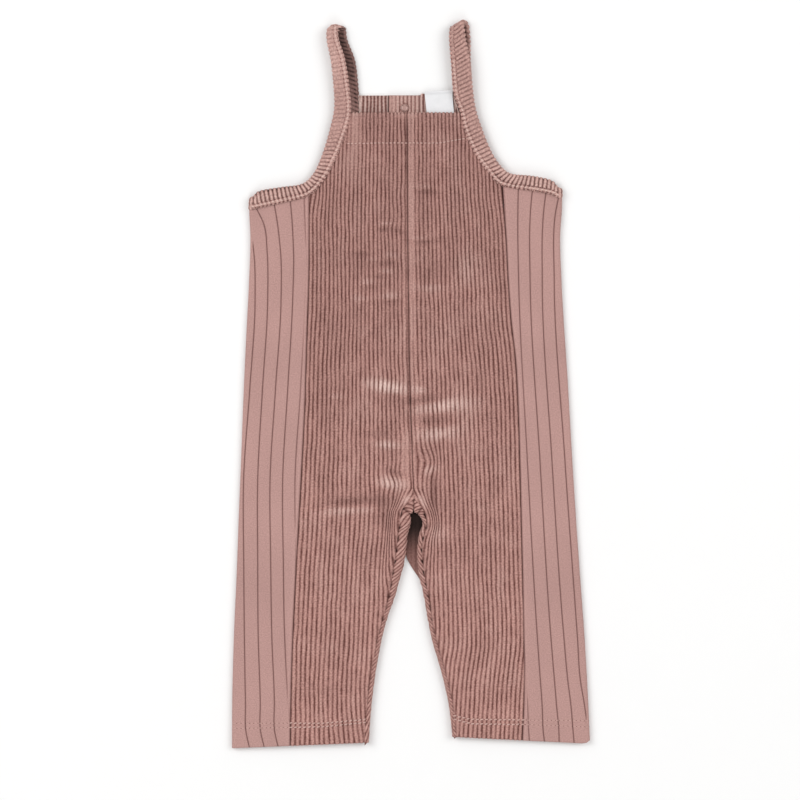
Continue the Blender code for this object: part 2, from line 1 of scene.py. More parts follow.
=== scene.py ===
"""Looks of a baby romper in wide-wale corduroy and rib jersey, laid flat with its front up.

Sizes and tables are in millimetres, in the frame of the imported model: the back rests on
Z = 0, +Y runs from the leg hems to the shoulder straps, and +X is the right of someone who
looks down on the front. Each cloth piece is a thin shell with its cords, ribs and creases in
the mesh, so that the pieces look right from any side.
"""

import logging
import math
from collections.abc import Sequence
from dataclasses import dataclass, field
from enum import Enum
from typing import NamedTuple

import bpy
import numpy as np
from mathutils import Matrix, Vector
from mathutils.bvhtree import BVHTree


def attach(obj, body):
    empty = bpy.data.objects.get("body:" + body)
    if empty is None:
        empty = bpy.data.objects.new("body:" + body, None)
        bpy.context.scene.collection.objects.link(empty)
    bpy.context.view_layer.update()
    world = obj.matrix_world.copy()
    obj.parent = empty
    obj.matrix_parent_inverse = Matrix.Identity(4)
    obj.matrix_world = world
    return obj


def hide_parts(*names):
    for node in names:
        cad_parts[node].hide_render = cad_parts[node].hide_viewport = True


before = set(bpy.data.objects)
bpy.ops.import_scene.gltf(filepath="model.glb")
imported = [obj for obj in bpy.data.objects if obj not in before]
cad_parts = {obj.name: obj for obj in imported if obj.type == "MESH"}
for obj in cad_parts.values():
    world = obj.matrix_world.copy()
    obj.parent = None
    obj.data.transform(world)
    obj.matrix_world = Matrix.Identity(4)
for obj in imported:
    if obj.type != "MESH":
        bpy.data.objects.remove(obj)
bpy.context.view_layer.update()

LOG = logging.getLogger("baby_romper")
MM = 0.001
BODY_NAME = "root"
Array = np.ndarray
Colour = tuple[float, float, float]


class Side(Enum):
    """A half of the garment, as someone who looks down on the front sees it."""

    LEFT = -1
    RIGHT = 1

    @property
    def tag(self) -> str:
        """The side's word in the names of its pieces."""
        return self.name.lower()


def table(kind: type, *rows: tuple[float, ...]) -> list:
    """Make a table of rows of this kind, which names their columns."""
    return [kind(*row) for row in rows]


# ---- sizes

# Walls of cloth. A hem is the cloth turned in, so its wall is thicker, and a ply is a wall's
# share of the hem's.
CORD_WALL, CORD_HEM_WALL = 1.3, 2.2
KNIT_WALL, KNIT_HEM_WALL = 1.1, 1.9
CORD_PLY, KNIT_PLY = CORD_WALL / CORD_HEM_WALL, KNIT_WALL / KNIT_HEM_WALL
LEAST_PLY, MOST_PLY = 0.3, 1.3
BINDING_WALL, BINDING_EDGE_RADIUS, BINDING_SEAM_RADIUS = 2.8, 1.35, 0.7
STRIP_WALL = 1.1
PLACKET_WALL, LABEL_WALL = 1.1, 0.5
SEAM_GAP = 0.05

NECK_Y, BACK_NECK_Y, HEM_Y = 217.4, 231.2, -287.0
NECK_HEM_DEPTH, LEG_HEM_DEPTH = 25.0, 17.0
CROTCH_Y = -92.0

# Below this height a leg lies askew: where its hem turns about, across, how far the hem is
# raised there, and its slope.
HEM_TILT_FROM_Y = -205.0
HEM_TILTS = {Side.LEFT: (-33.4, 0.0, 0.0419), Side.RIGHT: (32.5, 4.6, -0.0505)}

CORD_DEPTH, ROLL_CORD_DEPTH = 0.85, 0.8
BACK_CORD_DEPTH = 0.62 * CORD_DEPTH
BINDING_CORD_PITCH, BINDING_CORD_DEPTH = 3.4, 0.75
COLUMNS_PER_CORD, BACK_COLUMNS_PER_CORD = 6, 4
# Cords are counted at so many places across a row, and each counts at least this much more.
COUNTED_PLACES, COUNT_STEP = 260, 1e-7
# Cords on a front panel, from its side seam to the inseam.
CORD_COUNT = {Side.LEFT: 24.5, Side.RIGHT: 24.0}

PLACKET_LEFT, PLACKET_RIGHT, PLACKET_END_Y = -18.4, 6.9, 140.0
OPENING_X, OPENING_END_Y, OPENING_JOG_Y = 5.6, 138.0, 116.0
# Beside the opening the right back panel's edge is turned in: how far its cords run ahead
# at these distances from the edge, and how much higher it stands.
TURNED_AT, TURNED_AHEAD = (0.8, 2.8, 4.7, 7.3, 9.8), (0.21, 0.34, 0.50, 0.25, 0.0)
TURNED_RISE = 1.4

SNAP_X, SNAP_Y, SNAP_TOP, SNAP_RADIUS = -5.2, 221.1, 4.2, 3.2
SNAP_RING_RADIUS, SNAP_CAP_RADIUS, SNAP_CAP_WALL = 0.28, SNAP_RADIUS - 0.85, 0.7
# Rings drawn in the snap's cap: how far in each lies, and how far it is raised.
SNAP_STEPS, SNAP_SIDES = ((0.3, -0.1), (0.6, -0.2), (0.7, 0.1)), 48
CLOTH_SHARP_ANGLE, SNAP_SHARP_ANGLE = math.radians(62.0), math.radians(50.0)

# Painted shadow in the top of the gap between the legs: a dark web on the right back panel.
WEB_LAP, WEB_COLUMNS, WEB_END_STATION = 1.6, 8, 68
WEB_NARROWS_Y, WEB_POINT_Y, WEB_CORD_PITCH = -130.0, -161.0, 3.6


class BodyRow(NamedTuple):
    """The side folds and side seams at one height."""

    y: float
    left_fold: float
    left_seam: float
    right_seam: float
    right_fold: float


BODY = table(
    BodyRow,
    (160, -128.4, -81.5, 72.6, 121),
    (140, -129.6, -81.6, 74.2, 120.9),
    (120, -128.7, -81.6, 76, 119.6),
    (83, -129.7, -81.9, 78, 120.6),
    (50, -131.4, -83.1, 80.4, 122.4),
    (20, -132.9, -84, 83.8, 124.5),
    (-20, -134.6, -85.2, 86, 126.9),
    (-60, -136.1, -87.2, 87.2, 129.2),
    (-104, -137.9, -89.6, 88.3, 132),
    (-150, -139.6, -92.2, 89.4, 135.2),
    (-205, -142, -94.8, 90.4, 139.2),
    (-250, -143.2, -96.2, 90.6, 141.8),
    (-287, -143.4, -96.8, 89.2, 143.4),
)


class HeightRow(NamedTuple):
    """Height of the upper cloth at its fold, side seam and inner edge, and its crown."""

    y: float
    fold: float
    seam: float
    inner: float
    bulge: float


HEIGHTS = table(
    HeightRow,
    (218, 4.8, 6.8, 6.8, 0),
    (203, 4.8, 6.8, 6.8, 0),
    (188, 4.8, 6.4, 6.2, 0.2),
    (150, 4.8, 5.6, 5.4, 0.7),
    (60, 4.2, 5.2, 5.2, 0.9),
    (-40, 4.2, 5.2, 5.6, 0.8),
    (-104, 4.2, 5.2, 6.2, 0.7),
    (-205, 4.4, 5.4, 6.2, 0.6),
    (-266, 5, 6.4, 6.7, 0.3),
    (-287, 5.4, 6.8, 6.8, 0),
)


class CentreRow(NamedTuple):
    """Where the centre seam runs."""

    y: float
    x: float


CENTRE = table(
    CentreRow,
    (235, -3.5), (218, -3.4), (120, -2.8), (83, -2.4), (0, -1.2), (-45, 0.4),
    (-82, 1.7), (-92, 2.4), (-110, 2.2),
)


class LegRow(NamedTuple):
    """The inside of a leg: its rolled edge, and the inseam on top."""

    edge_x: float
    edge_y: float
    seam_x: float
    seam_y: float


LEGS = {
    Side.LEFT: table(
        LegRow,
        (2, -102.8, 2.4, -92), (0.3, -104.6, -6.4, -99.4), (0.2, -108, -8.4, -106),
        (0.2, -112.5, -9.2, -112.5), (-1.9, -119, -10, -119), (-2.9, -128, -11.2, -128),
        (-4, -137, -12.2, -137), (-5.6, -146, -13.8, -146), (-8.2, -155, -15.3, -155),
        (-12.4, -170, -17.6, -170), (-18.4, -187, -22.2, -187),
        (-23.2, -205, -27, -205), (-28.4, -234, -32.2, -234), (-31, -255, -34.8, -255),
        (-32.4, -270, -36.2, -270), (-33.4, -287, -37.2, -287),
    ),
    Side.RIGHT: table(
        LegRow,
        (2, -102.8, 2.4, -92), (5, -104.2, 8.8, -98.8), (7.6, -107.4, 11.4, -105.5),
        (8.8, -112.5, 12.6, -112.5), (6.4, -119, 11.4, -119), (4.9, -128, 9.2, -128),
        (4.6, -137, 8.8, -137), (5.2, -146, 9.8, -146), (6.4, -155, 11.2, -155),
        (10, -170, 14, -170), (12.8, -187, 16.6, -187), (16.6, -205, 20.4, -205),
        (24.4, -234, 28.2, -234), (29, -255, 32.8, -255), (31.2, -270, 35, -270),
        (32.8, -287, 36.6, -287),
    ),
}


class RingRow(NamedTuple):
    """An armhole strip: free edge, seamed edge, height, and how far the back run lies aside."""

    free_x: float
    free_y: float
    seam_x: float
    seam_y: float
    z: float
    back_shift: float


SEAM_CORNER, BIB_CORNER, STRAP_FOOT = 3, 8, 9
RINGS = {
    Side.LEFT: table(
        RingRow,
        (-125.6, 149.6, -126.5, 140.4, 6.2, 0),
        (-121, 153.8, -119, 142.2, 6.2, 0),
        (-104, 156.8, -102, 146, 6.2, 0),
        (-87, 159.4, -81.5, 151.6, 6.2, 0),
        (-77.6, 167.8, -69.6, 164.6, 6.3, 1.6),
        (-71.8, 179.6, -62.2, 177.6, 6.4, 3.4),
        (-67, 193.6, -56.2, 191.6, 6.6, 5),
        (-63.2, 207.6, -51.4, 205.6, 6.8, 6.4),
        (-60.8, 219.6, -48.8, 217.4, 6.8, 7.2),
        (-60.8, 233, -49.4, 231.2, 7.4, 7),
        (-63.2, 257.5, -53, 257.5, 8, 7.8),
        (-66.6, 274.5, -58.4, 275, 8, 6.8),
        (-66.8, 283, -59.4, 284.6, 8, 6.4),
    ),
    Side.RIGHT: table(
        RingRow,
        (117.2, 156.8, 117.4, 149.8, 6.2, 0),
        (112, 162.4, 111, 152.6, 6.2, 0),
        (97, 165.8, 95, 155.4, 6.2, 0),
        (80.5, 167.4, 72.6, 159.4, 6.2, 0),
        (72.6, 172.6, 62.6, 169.4, 6.3, -0.4),
        (65.4, 182.6, 54.2, 180.6, 6.4, -0.8),
        (59.8, 194.6, 47.6, 192.6, 6.6, -1.2),
        (55.2, 207, 42.8, 205, 6.8, -1.4),
        (51.4, 219, 40.2, 217.4, 6.8, -1.4),
        (49.2, 232, 35.2, 231.2, 7.4, -0.4),
        (46.6, 257.5, 32.6, 257.5, 8, 0.6),
        (43.4, 275, 31.2, 275, 8, 3.6),
        (41.8, 286.4, 31.4, 283.8, 8, 4.2),
    ),
}


class TurnRow(NamedTuple):
    """How far each edge of a strip swings out where the strip turns over."""

    free_x: float
    free_y: float
    seam_x: float
    seam_y: float


class StripLook(NamedTuple):
    """How a strip's cords lean and stand up on its strap, and how its shade deepens.

    The cords lean by slant, and by slant_at_top more where the strap turns over. Faint and
    band_faint say how weak they are on the strap and in the seamed band. The painted shadow
    between the cords' ends under the arm is tip_shadow, and the strap is darker by dimmed,
    less dim_end at its top.
    """

    slant: float
    slant_at_top: float
    faint: float
    band_faint: float
    tip_shadow: float
    dimmed: float
    dim_end: float


STRIP_LOOKS = {
    Side.LEFT: StripLook(-0.25, 0.0, 0.28, 0.75, 1.6, 0.22, 1.0),
    Side.RIGHT: StripLook(0.30, 0.35, 0.62, 0.40, 0.5, 0.17, 0.0),
}
STRAP_TURNS = {Side.LEFT: TurnRow(2.0, 4.6, 0.6, 1.4), Side.RIGHT: TurnRow(-1.2, 5.0, 2.6, 3.6)}
STRAP_ROPE_Y = {Side.LEFT: 300.0, Side.RIGHT: 258.0}
UNDERARM_TURNS = {
    Side.LEFT: TurnRow(-3.0, -0.5, -3.1, 0.0),
    Side.RIGHT: TurnRow(3.2, -0.5, 3.3, 0.0),
}


class CordRow(NamedTuple):
    """Where the first cord beside the side seam lies, and the cords' pitch."""

    y: float
    zero: float
    pitch: float


CORDS = {
    Side.LEFT: table(
        CordRow,
        (235, -77.2, 3.01), (218, -77.9, 3.04), (190, -79.6, 3.12), (150, -81.6, 3.208),
        (83, -81.9, 3.245), (20, -84, 3.367), (-20, -85.2, 3.457), (-60, -87.2, 3.60),
        (-92, -88.9, 3.727), (-150, -92.2, 3.75), (-205, -94.8, 3.76),
        (-266, -96.5, 3.76), (-287, -96.8, 3.95),
    ),
    Side.RIGHT: table(
        CordRow,
        (235, 69.8, 3.05), (218, 70.3, 3.07), (190, 71.2, 3.10), (160, 72.6, 3.152),
        (120, 76, 3.283), (83, 78, 3.35), (50, 80.4, 3.43), (20, 83.8, 3.554),
        (-20, 86, 3.604), (-60, 87.2, 3.592), (-92, 88, 3.567), (-150, 89.4, 3.58),
        (-214, 90.5, 3.6), (-230, 88.8, 3.6), (-248, 87.2, 3.6), (-265, 86.3, 3.6),
        (-287, 85.3, 3.6),
    ),
}


class HoldRow(NamedTuple):
    """How far the cords next to the inner edge follow it."""

    y: float
    share: float


EDGE_HOLD = table(
    HoldRow,
    (-80, 0), (-84, 0.6), (-88, 0.92), (-96, 1), (-104, 1), (-116, 0.9), (-130, 0.6),
    (-150, 0.25), (-165, 0),
)
EDGE_HOLD_REACH, EDGE_HOLD_FULL = 12.5, 2.0
FLARE_RISE = 9.0
PUCKER_PITCH, PUCKER_SLANT = 9.2, 1.1


class Pull(NamedTuple):
    """A place where the cords are drawn aside."""

    x: float
    y: float
    half_width: float
    half_height: float
    aside: float


PULLS = table(
    Pull,
    (15, -62, 8, 10, 3.8),
    (-76, 153, 10, 12, 2.6),
    (-13, -70, 9, 5, -1.7),
    (-15, -81, 9, 5, 1.5),
    (-16, 6, 16, 8, 0.8),
    (14, -132, 7, 8, 0.9),
    (-34, -150, 12, 20, -0.7),
    (44, -200, 16, 22, 0.8),
    (-14, 124, 8, 7, -0.7),
    (-58, 60, 14, 26, 0.6),
    (50, 40, 14, 24, -0.6),
    (-86, -262, 9, 14, 0.6),
)


class Fold(NamedTuple):
    """A soft ridge (or trough) of the cloth, and how its nap catches the light."""

    x: float
    y: float
    half_length: float
    half_width: float
    lift: float
    tone: float
    angle: float = 0.0


FOLDS = table(
    Fold,
    (-18.4, -2.2, 15, 3.8, 0.7, 1.2, -11),
    (7.2, -4.6, 5.5, 2.2, 0.4, 0.5, -8),
    (-59, -9.6, 8, 1.8, 0.2, 0.35),
    (-12, -11, 10, 4, -0.4, -0.25),
    (10.4, -12.6, 13, 2.6, -0.5, -0.6, 8),
    (25, -17.6, 20, 4.2, 0.6, 0.8, 8),
    (14, -28.6, 14, 4, -0.45, -0.45, 3),
    (23, -39.6, 15, 4.2, 0.5, 0.75, 6),
    (-18.4, -48.6, 9, 2.4, 0.5, 0.9, -4),
    (-24, -40, 10, 3.4, -0.3, -0.3),
    (-12, -71, 7.5, 2, -0.5, -0.65, -18),
    (-16.5, -79.4, 11, 4, 0.7, 0.7, -6),
    (-46, -93.5, 23, 3.2, -0.4, -0.5, 4),
    (-50, -101.4, 25, 2.8, 0.4, 0.42, 3),
    (-23, -99, 6.5, 11, -0.3, -0.45),
    (16.5, -68.8, 6, 3.4, 0.6, 0.6, 12),
    (18.6, -84, 3.4, 15, -0.4, -0.5),
    (-5, -94, 6.5, 2.2, 0.5, 0.40, 47),
    (8.8, -94, 6.5, 2.2, 0.5, 0.35, -52),
    (43, -26, 9, 24, 0.2, 0.16),
    (12.8, 153.8, 9, 1.6, -0.35, -0.55),
    (12.8, 157.6, 9, 2.2, 0.35, 0.25),
    (-19.5, 127.6, 7.5, 1.8, 0.35, 0.45, -4),
    (-21, 124.2, 6, 1.4, -0.35, -0.6, 10),
    (-10.5, 122.8, 6.5, 1.4, -0.35, -0.6, -24),
    (-38.5, 103.6, 8, 1.5, -0.3, -0.55, -3),
    (-32.5, 100.6, 5, 1.5, 0.3, 0.4),
    (-16.5, 103.2, 5.5, 1.8, 0.25, 0.35),
    (-18.5, 96.4, 6.5, 1.9, -0.35, -0.6, 8),
    (-19.5, 90.4, 4.8, 1.8, 0.3, 0.45, 6),
    (-24.4, 86.2, 5.5, 2, -0.3, -0.55, 10),
    (-34.5, 81.6, 5.8, 1.7, 0.35, 0.55, 4),
    (-33.5, 77.4, 7, 1.5, -0.3, -0.5, 3),
    (-38.5, 68.6, 8, 1.8, 0.3, 0.42),
    (-17.5, 70.4, 7, 2.6, 0.35, 0.55, 3),
    (-17.5, 65.6, 7.5, 1.3, -0.25, -0.4),
    (8.4, 113.6, 8.5, 1.3, -0.3, -0.6, 2),
    (23, 115.4, 8, 1.3, -0.15, -0.3, 8),
    (6.5, 116.8, 6.5, 1.6, 0.25, 0.28, 2),
    (15.6, 77.2, 11, 2.6, 0.25, 0.38),
    (18, 89.5, 12, 5, -0.2, -0.22),
    (44.2, 93.6, 7, 10, 0.2, 0.22),
    (-66, 20, 14, 60, -0.1, -0.12),
    (58, 6, 12, 9, -0.2, -0.2),
    (36, -112, 10, 24, -0.2, -0.15),
    (24, -120, 8, 5, 0.3, 0.2),
    (-34, -214, 18, 7, 0.3, 0.15, 12),
    (46, -236, 18, 8, 0.3, 0.15, -10),
    (-70, -243, 12, 6, -0.2, -0.15),
)


BACK_FOLDS = table(
    Fold,
    (-30, 96, 13, 2.2, 0.35, -0.35, 8),
    (34, 78, 10, 1.8, 0.3, -0.3, -6),
    (22, 24, 17, 2.6, 0.45, -0.4, 5),
    (-26, 4, 15, 2.4, 0.45, -0.4, -10),
    (-38, -44, 12, 2, 0.35, -0.3, 4),
    (40, -66, 14, 2.8, 0.45, -0.4, 12),
    (-50, -98, 16, 2.4, 0.4, -0.35, -4),
    (46, -152, 12, 3, 0.3, -0.25, 9),
    (-58, -196, 13, 3.4, 0.3, -0.25, -12),
)


class Calm(NamedTuple):
    """A patch where the cords are pressed nearly flat."""

    x: float
    y: float
    half_width: float
    half_height: float
    loss: float


CALMS = table(
    Calm,
    (0.2, 150, 2.6, 66, 0.78),
    (1, 60, 2.6, 62, 0.55),
    (-44.6, 208, 4.4, 17, 0.72),
    (-47, 182, 5, 16, 0.45),
    (-4.8, 40, 2, 70, 0.35),
    (-4.6, -62, 4, 26, 0.6),
    (6, -20, 3.4, 24, 0.5),
    (-3, -92.6, 4.2, 4, 0.6),
    (8, -94, 3.6, 5, 0.5),
    (-34.5, -279, 2.6, 9, 0.6),
    (35, -279, 3.6, 9, 0.6),
    (-4, 214, 14, 2.5, 0.35),
)


class RibRow(NamedTuple):
    """Where the furrows of a side panel run on top, at one height."""

    y: float
    first: float
    second: float
    third: float
    fourth: float
    fifth: float


FURROWS = {
    Side.LEFT: table(
        RibRow,
        (140.8, -134, -124, -109.6, -96.8, -85.6),
        (124.8, -128.8, -117.1, -106.6, -95, -84.8),
        (107.2, -126, -115.2, -104.5, -94, -83.6),
        (67.2, -124.8, -114.7, -104, -94.7, -84.6),
        (-4.8, -129.1, -118.9, -108.5, -98.7, -88.4),
        (-76.8, -134, -122.7, -112.8, -102.7, -92.8),
        (-140.8, -133.9, -122.7, -112.3, -102.2, -92),
        (-204.8, -133.3, -122.2, -111.3, -101, -90.4),
        (-252.8, -132.5, -120.6, -109.3, -98.2, -87.2),
        (-274.4, -132.1, -120.4, -109.2, -96, -84.8),
        (-288.8, -128.8, -117, -105.9, -92.8, -81.6),
    ),
    Side.RIGHT: table(
        RibRow,
        (155.2, 74.4, 86.1, 97.8, 108.8, 119.2),
        (136, 75.2, 85.6, 95.7, 106.2, 115.6),
        (83.2, 76.4, 86.2, 95.4, 105.1, 114.7),
        (-60, 82.8, 93.1, 103.2, 112.8, 123.2),
        (-204.8, 90.2, 101.3, 112.2, 122.6, 133.4),
        (-236.8, 92.1, 103.5, 114.8, 125.5, 135.6),
        (-258.4, 93.4, 105, 116.6, 128.2, 139.2),
        (-278.4, 94.1, 105.8, 118.4, 129.8, 141.6),
        (-288, 94.8, 106.9, 118.6, 130.7, 142.6),
    ),
}
FURROW_COLUMNS = RibRow._fields[1:]
FURROW_DEPTH, FURROW_WIDTH = 0.55, 0.42

LABEL_CORNERS = [(10.8, 233.9), (32.9, 235.4), (35.0, 210.0), (13.4, 209.4)]
LABEL_Z, LABEL_WIDTH, LABEL_LENGTH = 2.75, 22.5, 24.7


# Rows of stitches, as points in plan.
NECK_STITCHING = np.array([(-50.2, 192.4), (-20, 192.8), (22, 192.8), (45, 196.6)])
HEM_STITCHING = {
    Side.LEFT: np.array([
        [(-141, -271.6), (-97, -271.3), (-70, -271.3), (-37.4, -268.4)],
        [(-141, -275.7), (-97, -274.7), (-70, -274.1), (-37.4, -270.9)],
    ]),
    Side.RIGHT: np.array([
        [(35, -265.4), (48, -268.2), (90, -268.8), (140.6, -269.6)],
        [(35.4, -268.2), (48, -271.8), (90, -272.4), (141, -274.4)],
    ]),
}  # fmt: skip


# ---- curves


def ease(t: Array | float) -> Array:
    """A smooth step from 0 to 1, as t goes from 0 to 1."""
    t = np.clip(t, 0.0, 1.0)
    return t * t * (3.0 - 2.0 * t)


def hump(distance: Array | float, width: float) -> Array:
    """A bell that is 1 at no distance and fades over this width."""
    return np.exp(-((np.asarray(distance, float) / width) ** 2))


def ridge(phase: Array) -> Array:
    """Height of a cord, from 0 in the grooves at whole phases to 1 on its crest."""
    return np.abs(np.sin(np.pi * phase)) ** 1.15


def curve(rows: Sequence[NamedTuple], column: str, y: Array | float) -> Array:
    """Read a table's column on a smooth curve through its rows.

    Args:
        rows: The table's rows, from the highest y to the lowest.
        column: The column to read.
        y: The heights to read it at.

    Returns:
        The value at each height.
    """
    heights = np.array([row.y for row in rows], float)[::-1]
    values = np.array([getattr(row, column) for row in rows], float)[::-1]
    slopes = np.gradient(values, heights)
    y = np.clip(np.asarray(y, float), heights[0], heights[-1])
    k = np.clip(np.searchsorted(heights, y) - 1, 0, len(heights) - 2)
    span = heights[k + 1] - heights[k]
    t = (y - heights[k]) / span
    start = values[k] * (1 + 2 * t) * (1 - t) ** 2 + slopes[k] * span * t * (1 - t) ** 2
    end = values[k + 1] * t * t * (3 - 2 * t) - slopes[k + 1] * span * t * t * (1 - t)
    return start + end


def smooth_rows(rows: Array, steps: int) -> Array:
    """Catmull-Rom rows through these rows, with so many steps from each to the next.

    Args:
        rows: The rows to pass through.
        steps: Steps from each row to the next.

    Returns:
        The finer rows.
    """
    rows = np.asarray(rows, float)
    padded = np.vstack([2 * rows[0] - rows[1], rows, 2 * rows[-1] - rows[-2]])
    found = []
    for k in range(len(rows) - 1):
        before, start, end, after = padded[k : k + 4]
        for t in np.arange(steps) / steps:
            bend = (2 * before - 5 * start + 4 * end - after) * t**2
            twist = (3 * start - before - 3 * end + after) * t**3
            found.append(0.5 * (2 * start + (end - before) * t + bend + twist))
    found.append(rows[-1])
    return np.array(found)


def evenly(points: Array, pitch: float) -> Array:
    """Points at an even pitch along a line of points.

    Args:
        points: The line's points, in plan or in space.
        pitch: The distance from each new point to the next.

    Returns:
        The new points, the first and the last at the line's ends.
    """
    steps = np.linalg.norm(np.diff(points, axis=0), axis=1)
    way = np.concatenate([[0.0], np.cumsum(steps)])
    count = max(2, round(way[-1] / pitch) + 1)
    marks = np.linspace(0.0, way[-1], count)
    return np.stack([np.interp(marks, way, column) for column in points.T], axis=1)


def stations(*marks: float) -> Array:
    """Values from mark to mark, given as start, step, mark, step, mark and so on.

    Args:
        marks: The start, then a step and a mark in turn.

    Returns:
        The values, with every mark.
    """
    found = [marks[0]]
    for step, end in zip(marks[1::2], marks[2::2]):
        start = found[-1]
        count = max(1, round(abs(end - start) / step))
        found.extend(start + (end - start) * k / count for k in range(1, count + 1))
    return np.array(found)


def wander(seed: int, u: Array, v: Array) -> Array:
    """Smooth uneven heights from -1 to 1, with about one lump per unit of u and v.

    Args:
        seed: A number of its own for each use.
        u: Places one way.
        v: Places the other way.

    Returns:
        The height at each place.
    """
    size = 512
    lattice = np.random.default_rng(seed).uniform(-1.0, 1.0, (size, size))
    u, v = np.broadcast_arrays(np.asarray(u, float), np.asarray(v, float))
    left, low = np.floor(u).astype(int), np.floor(v).astype(int)
    s, t = ease(u - left), ease(v - low)
    near = lattice[left % size, low % size] * (1 - s) + lattice[(left + 1) % size, low % size] * s
    up = (low + 1) % size
    far = lattice[left % size, up] * (1 - s) + lattice[(left + 1) % size, up] * s
    return near * (1 - t) + far * t


def with_hem_tilt(side: Side, x: Array, y: Array) -> Array:
    """The height along the garment, once the leg hem lies askew.

    Args:
        side: The leg.
        x: Places across.
        y: Their heights as cut.

    Returns:
        Their heights as they lie.
    """
    at, rise, slope = HEM_TILTS[side]
    share = np.clip((HEM_TILT_FROM_Y - y) / (HEM_TILT_FROM_Y - HEM_Y), 0.0, 1.0)
    return y + share * (rise + slope * (x - at))


def fold_over(distance: Array, radius: float) -> Array:
    """How far cloth drops near its folded edge, by its distance from the edge."""
    inside = 1.0 - np.clip(distance / radius, 0.0, 1.0)
    return -radius * (1.0 - np.sqrt(1.0 - inside**2 * 0.96))


# ---- shaders


class Sock:
    """A socket of a shader in an expression: each operator adds its Math node."""

    def __init__(self, web: "Web", socket: bpy.types.NodeSocket) -> None:
        """Keep the socket and the web that it is in."""
        self.web, self.socket = web, socket

    def __add__(self, other: "Sock | float") -> "Sock":
        """Sum."""
        return self.web.math("ADD", self, other)

    def __sub__(self, other: "Sock | float") -> "Sock":
        """Difference."""
        return self.web.math("SUBTRACT", self, other)

    def __rsub__(self, other: float) -> "Sock":
        """Difference, from a number."""
        return self.web.math("SUBTRACT", other, self)

    def __mul__(self, other: "Sock | float") -> "Sock":
        """Product."""
        return self.web.math("MULTIPLY", self, other)

    def __truediv__(self, other: "Sock | float") -> "Sock":
        """Quotient."""
        return self.web.math("DIVIDE", self, other)

    def __pow__(self, other: "Sock | float") -> "Sock":
        """Power."""
        return self.web.math("POWER", self, other)

    __radd__, __rmul__ = __add__, __mul__


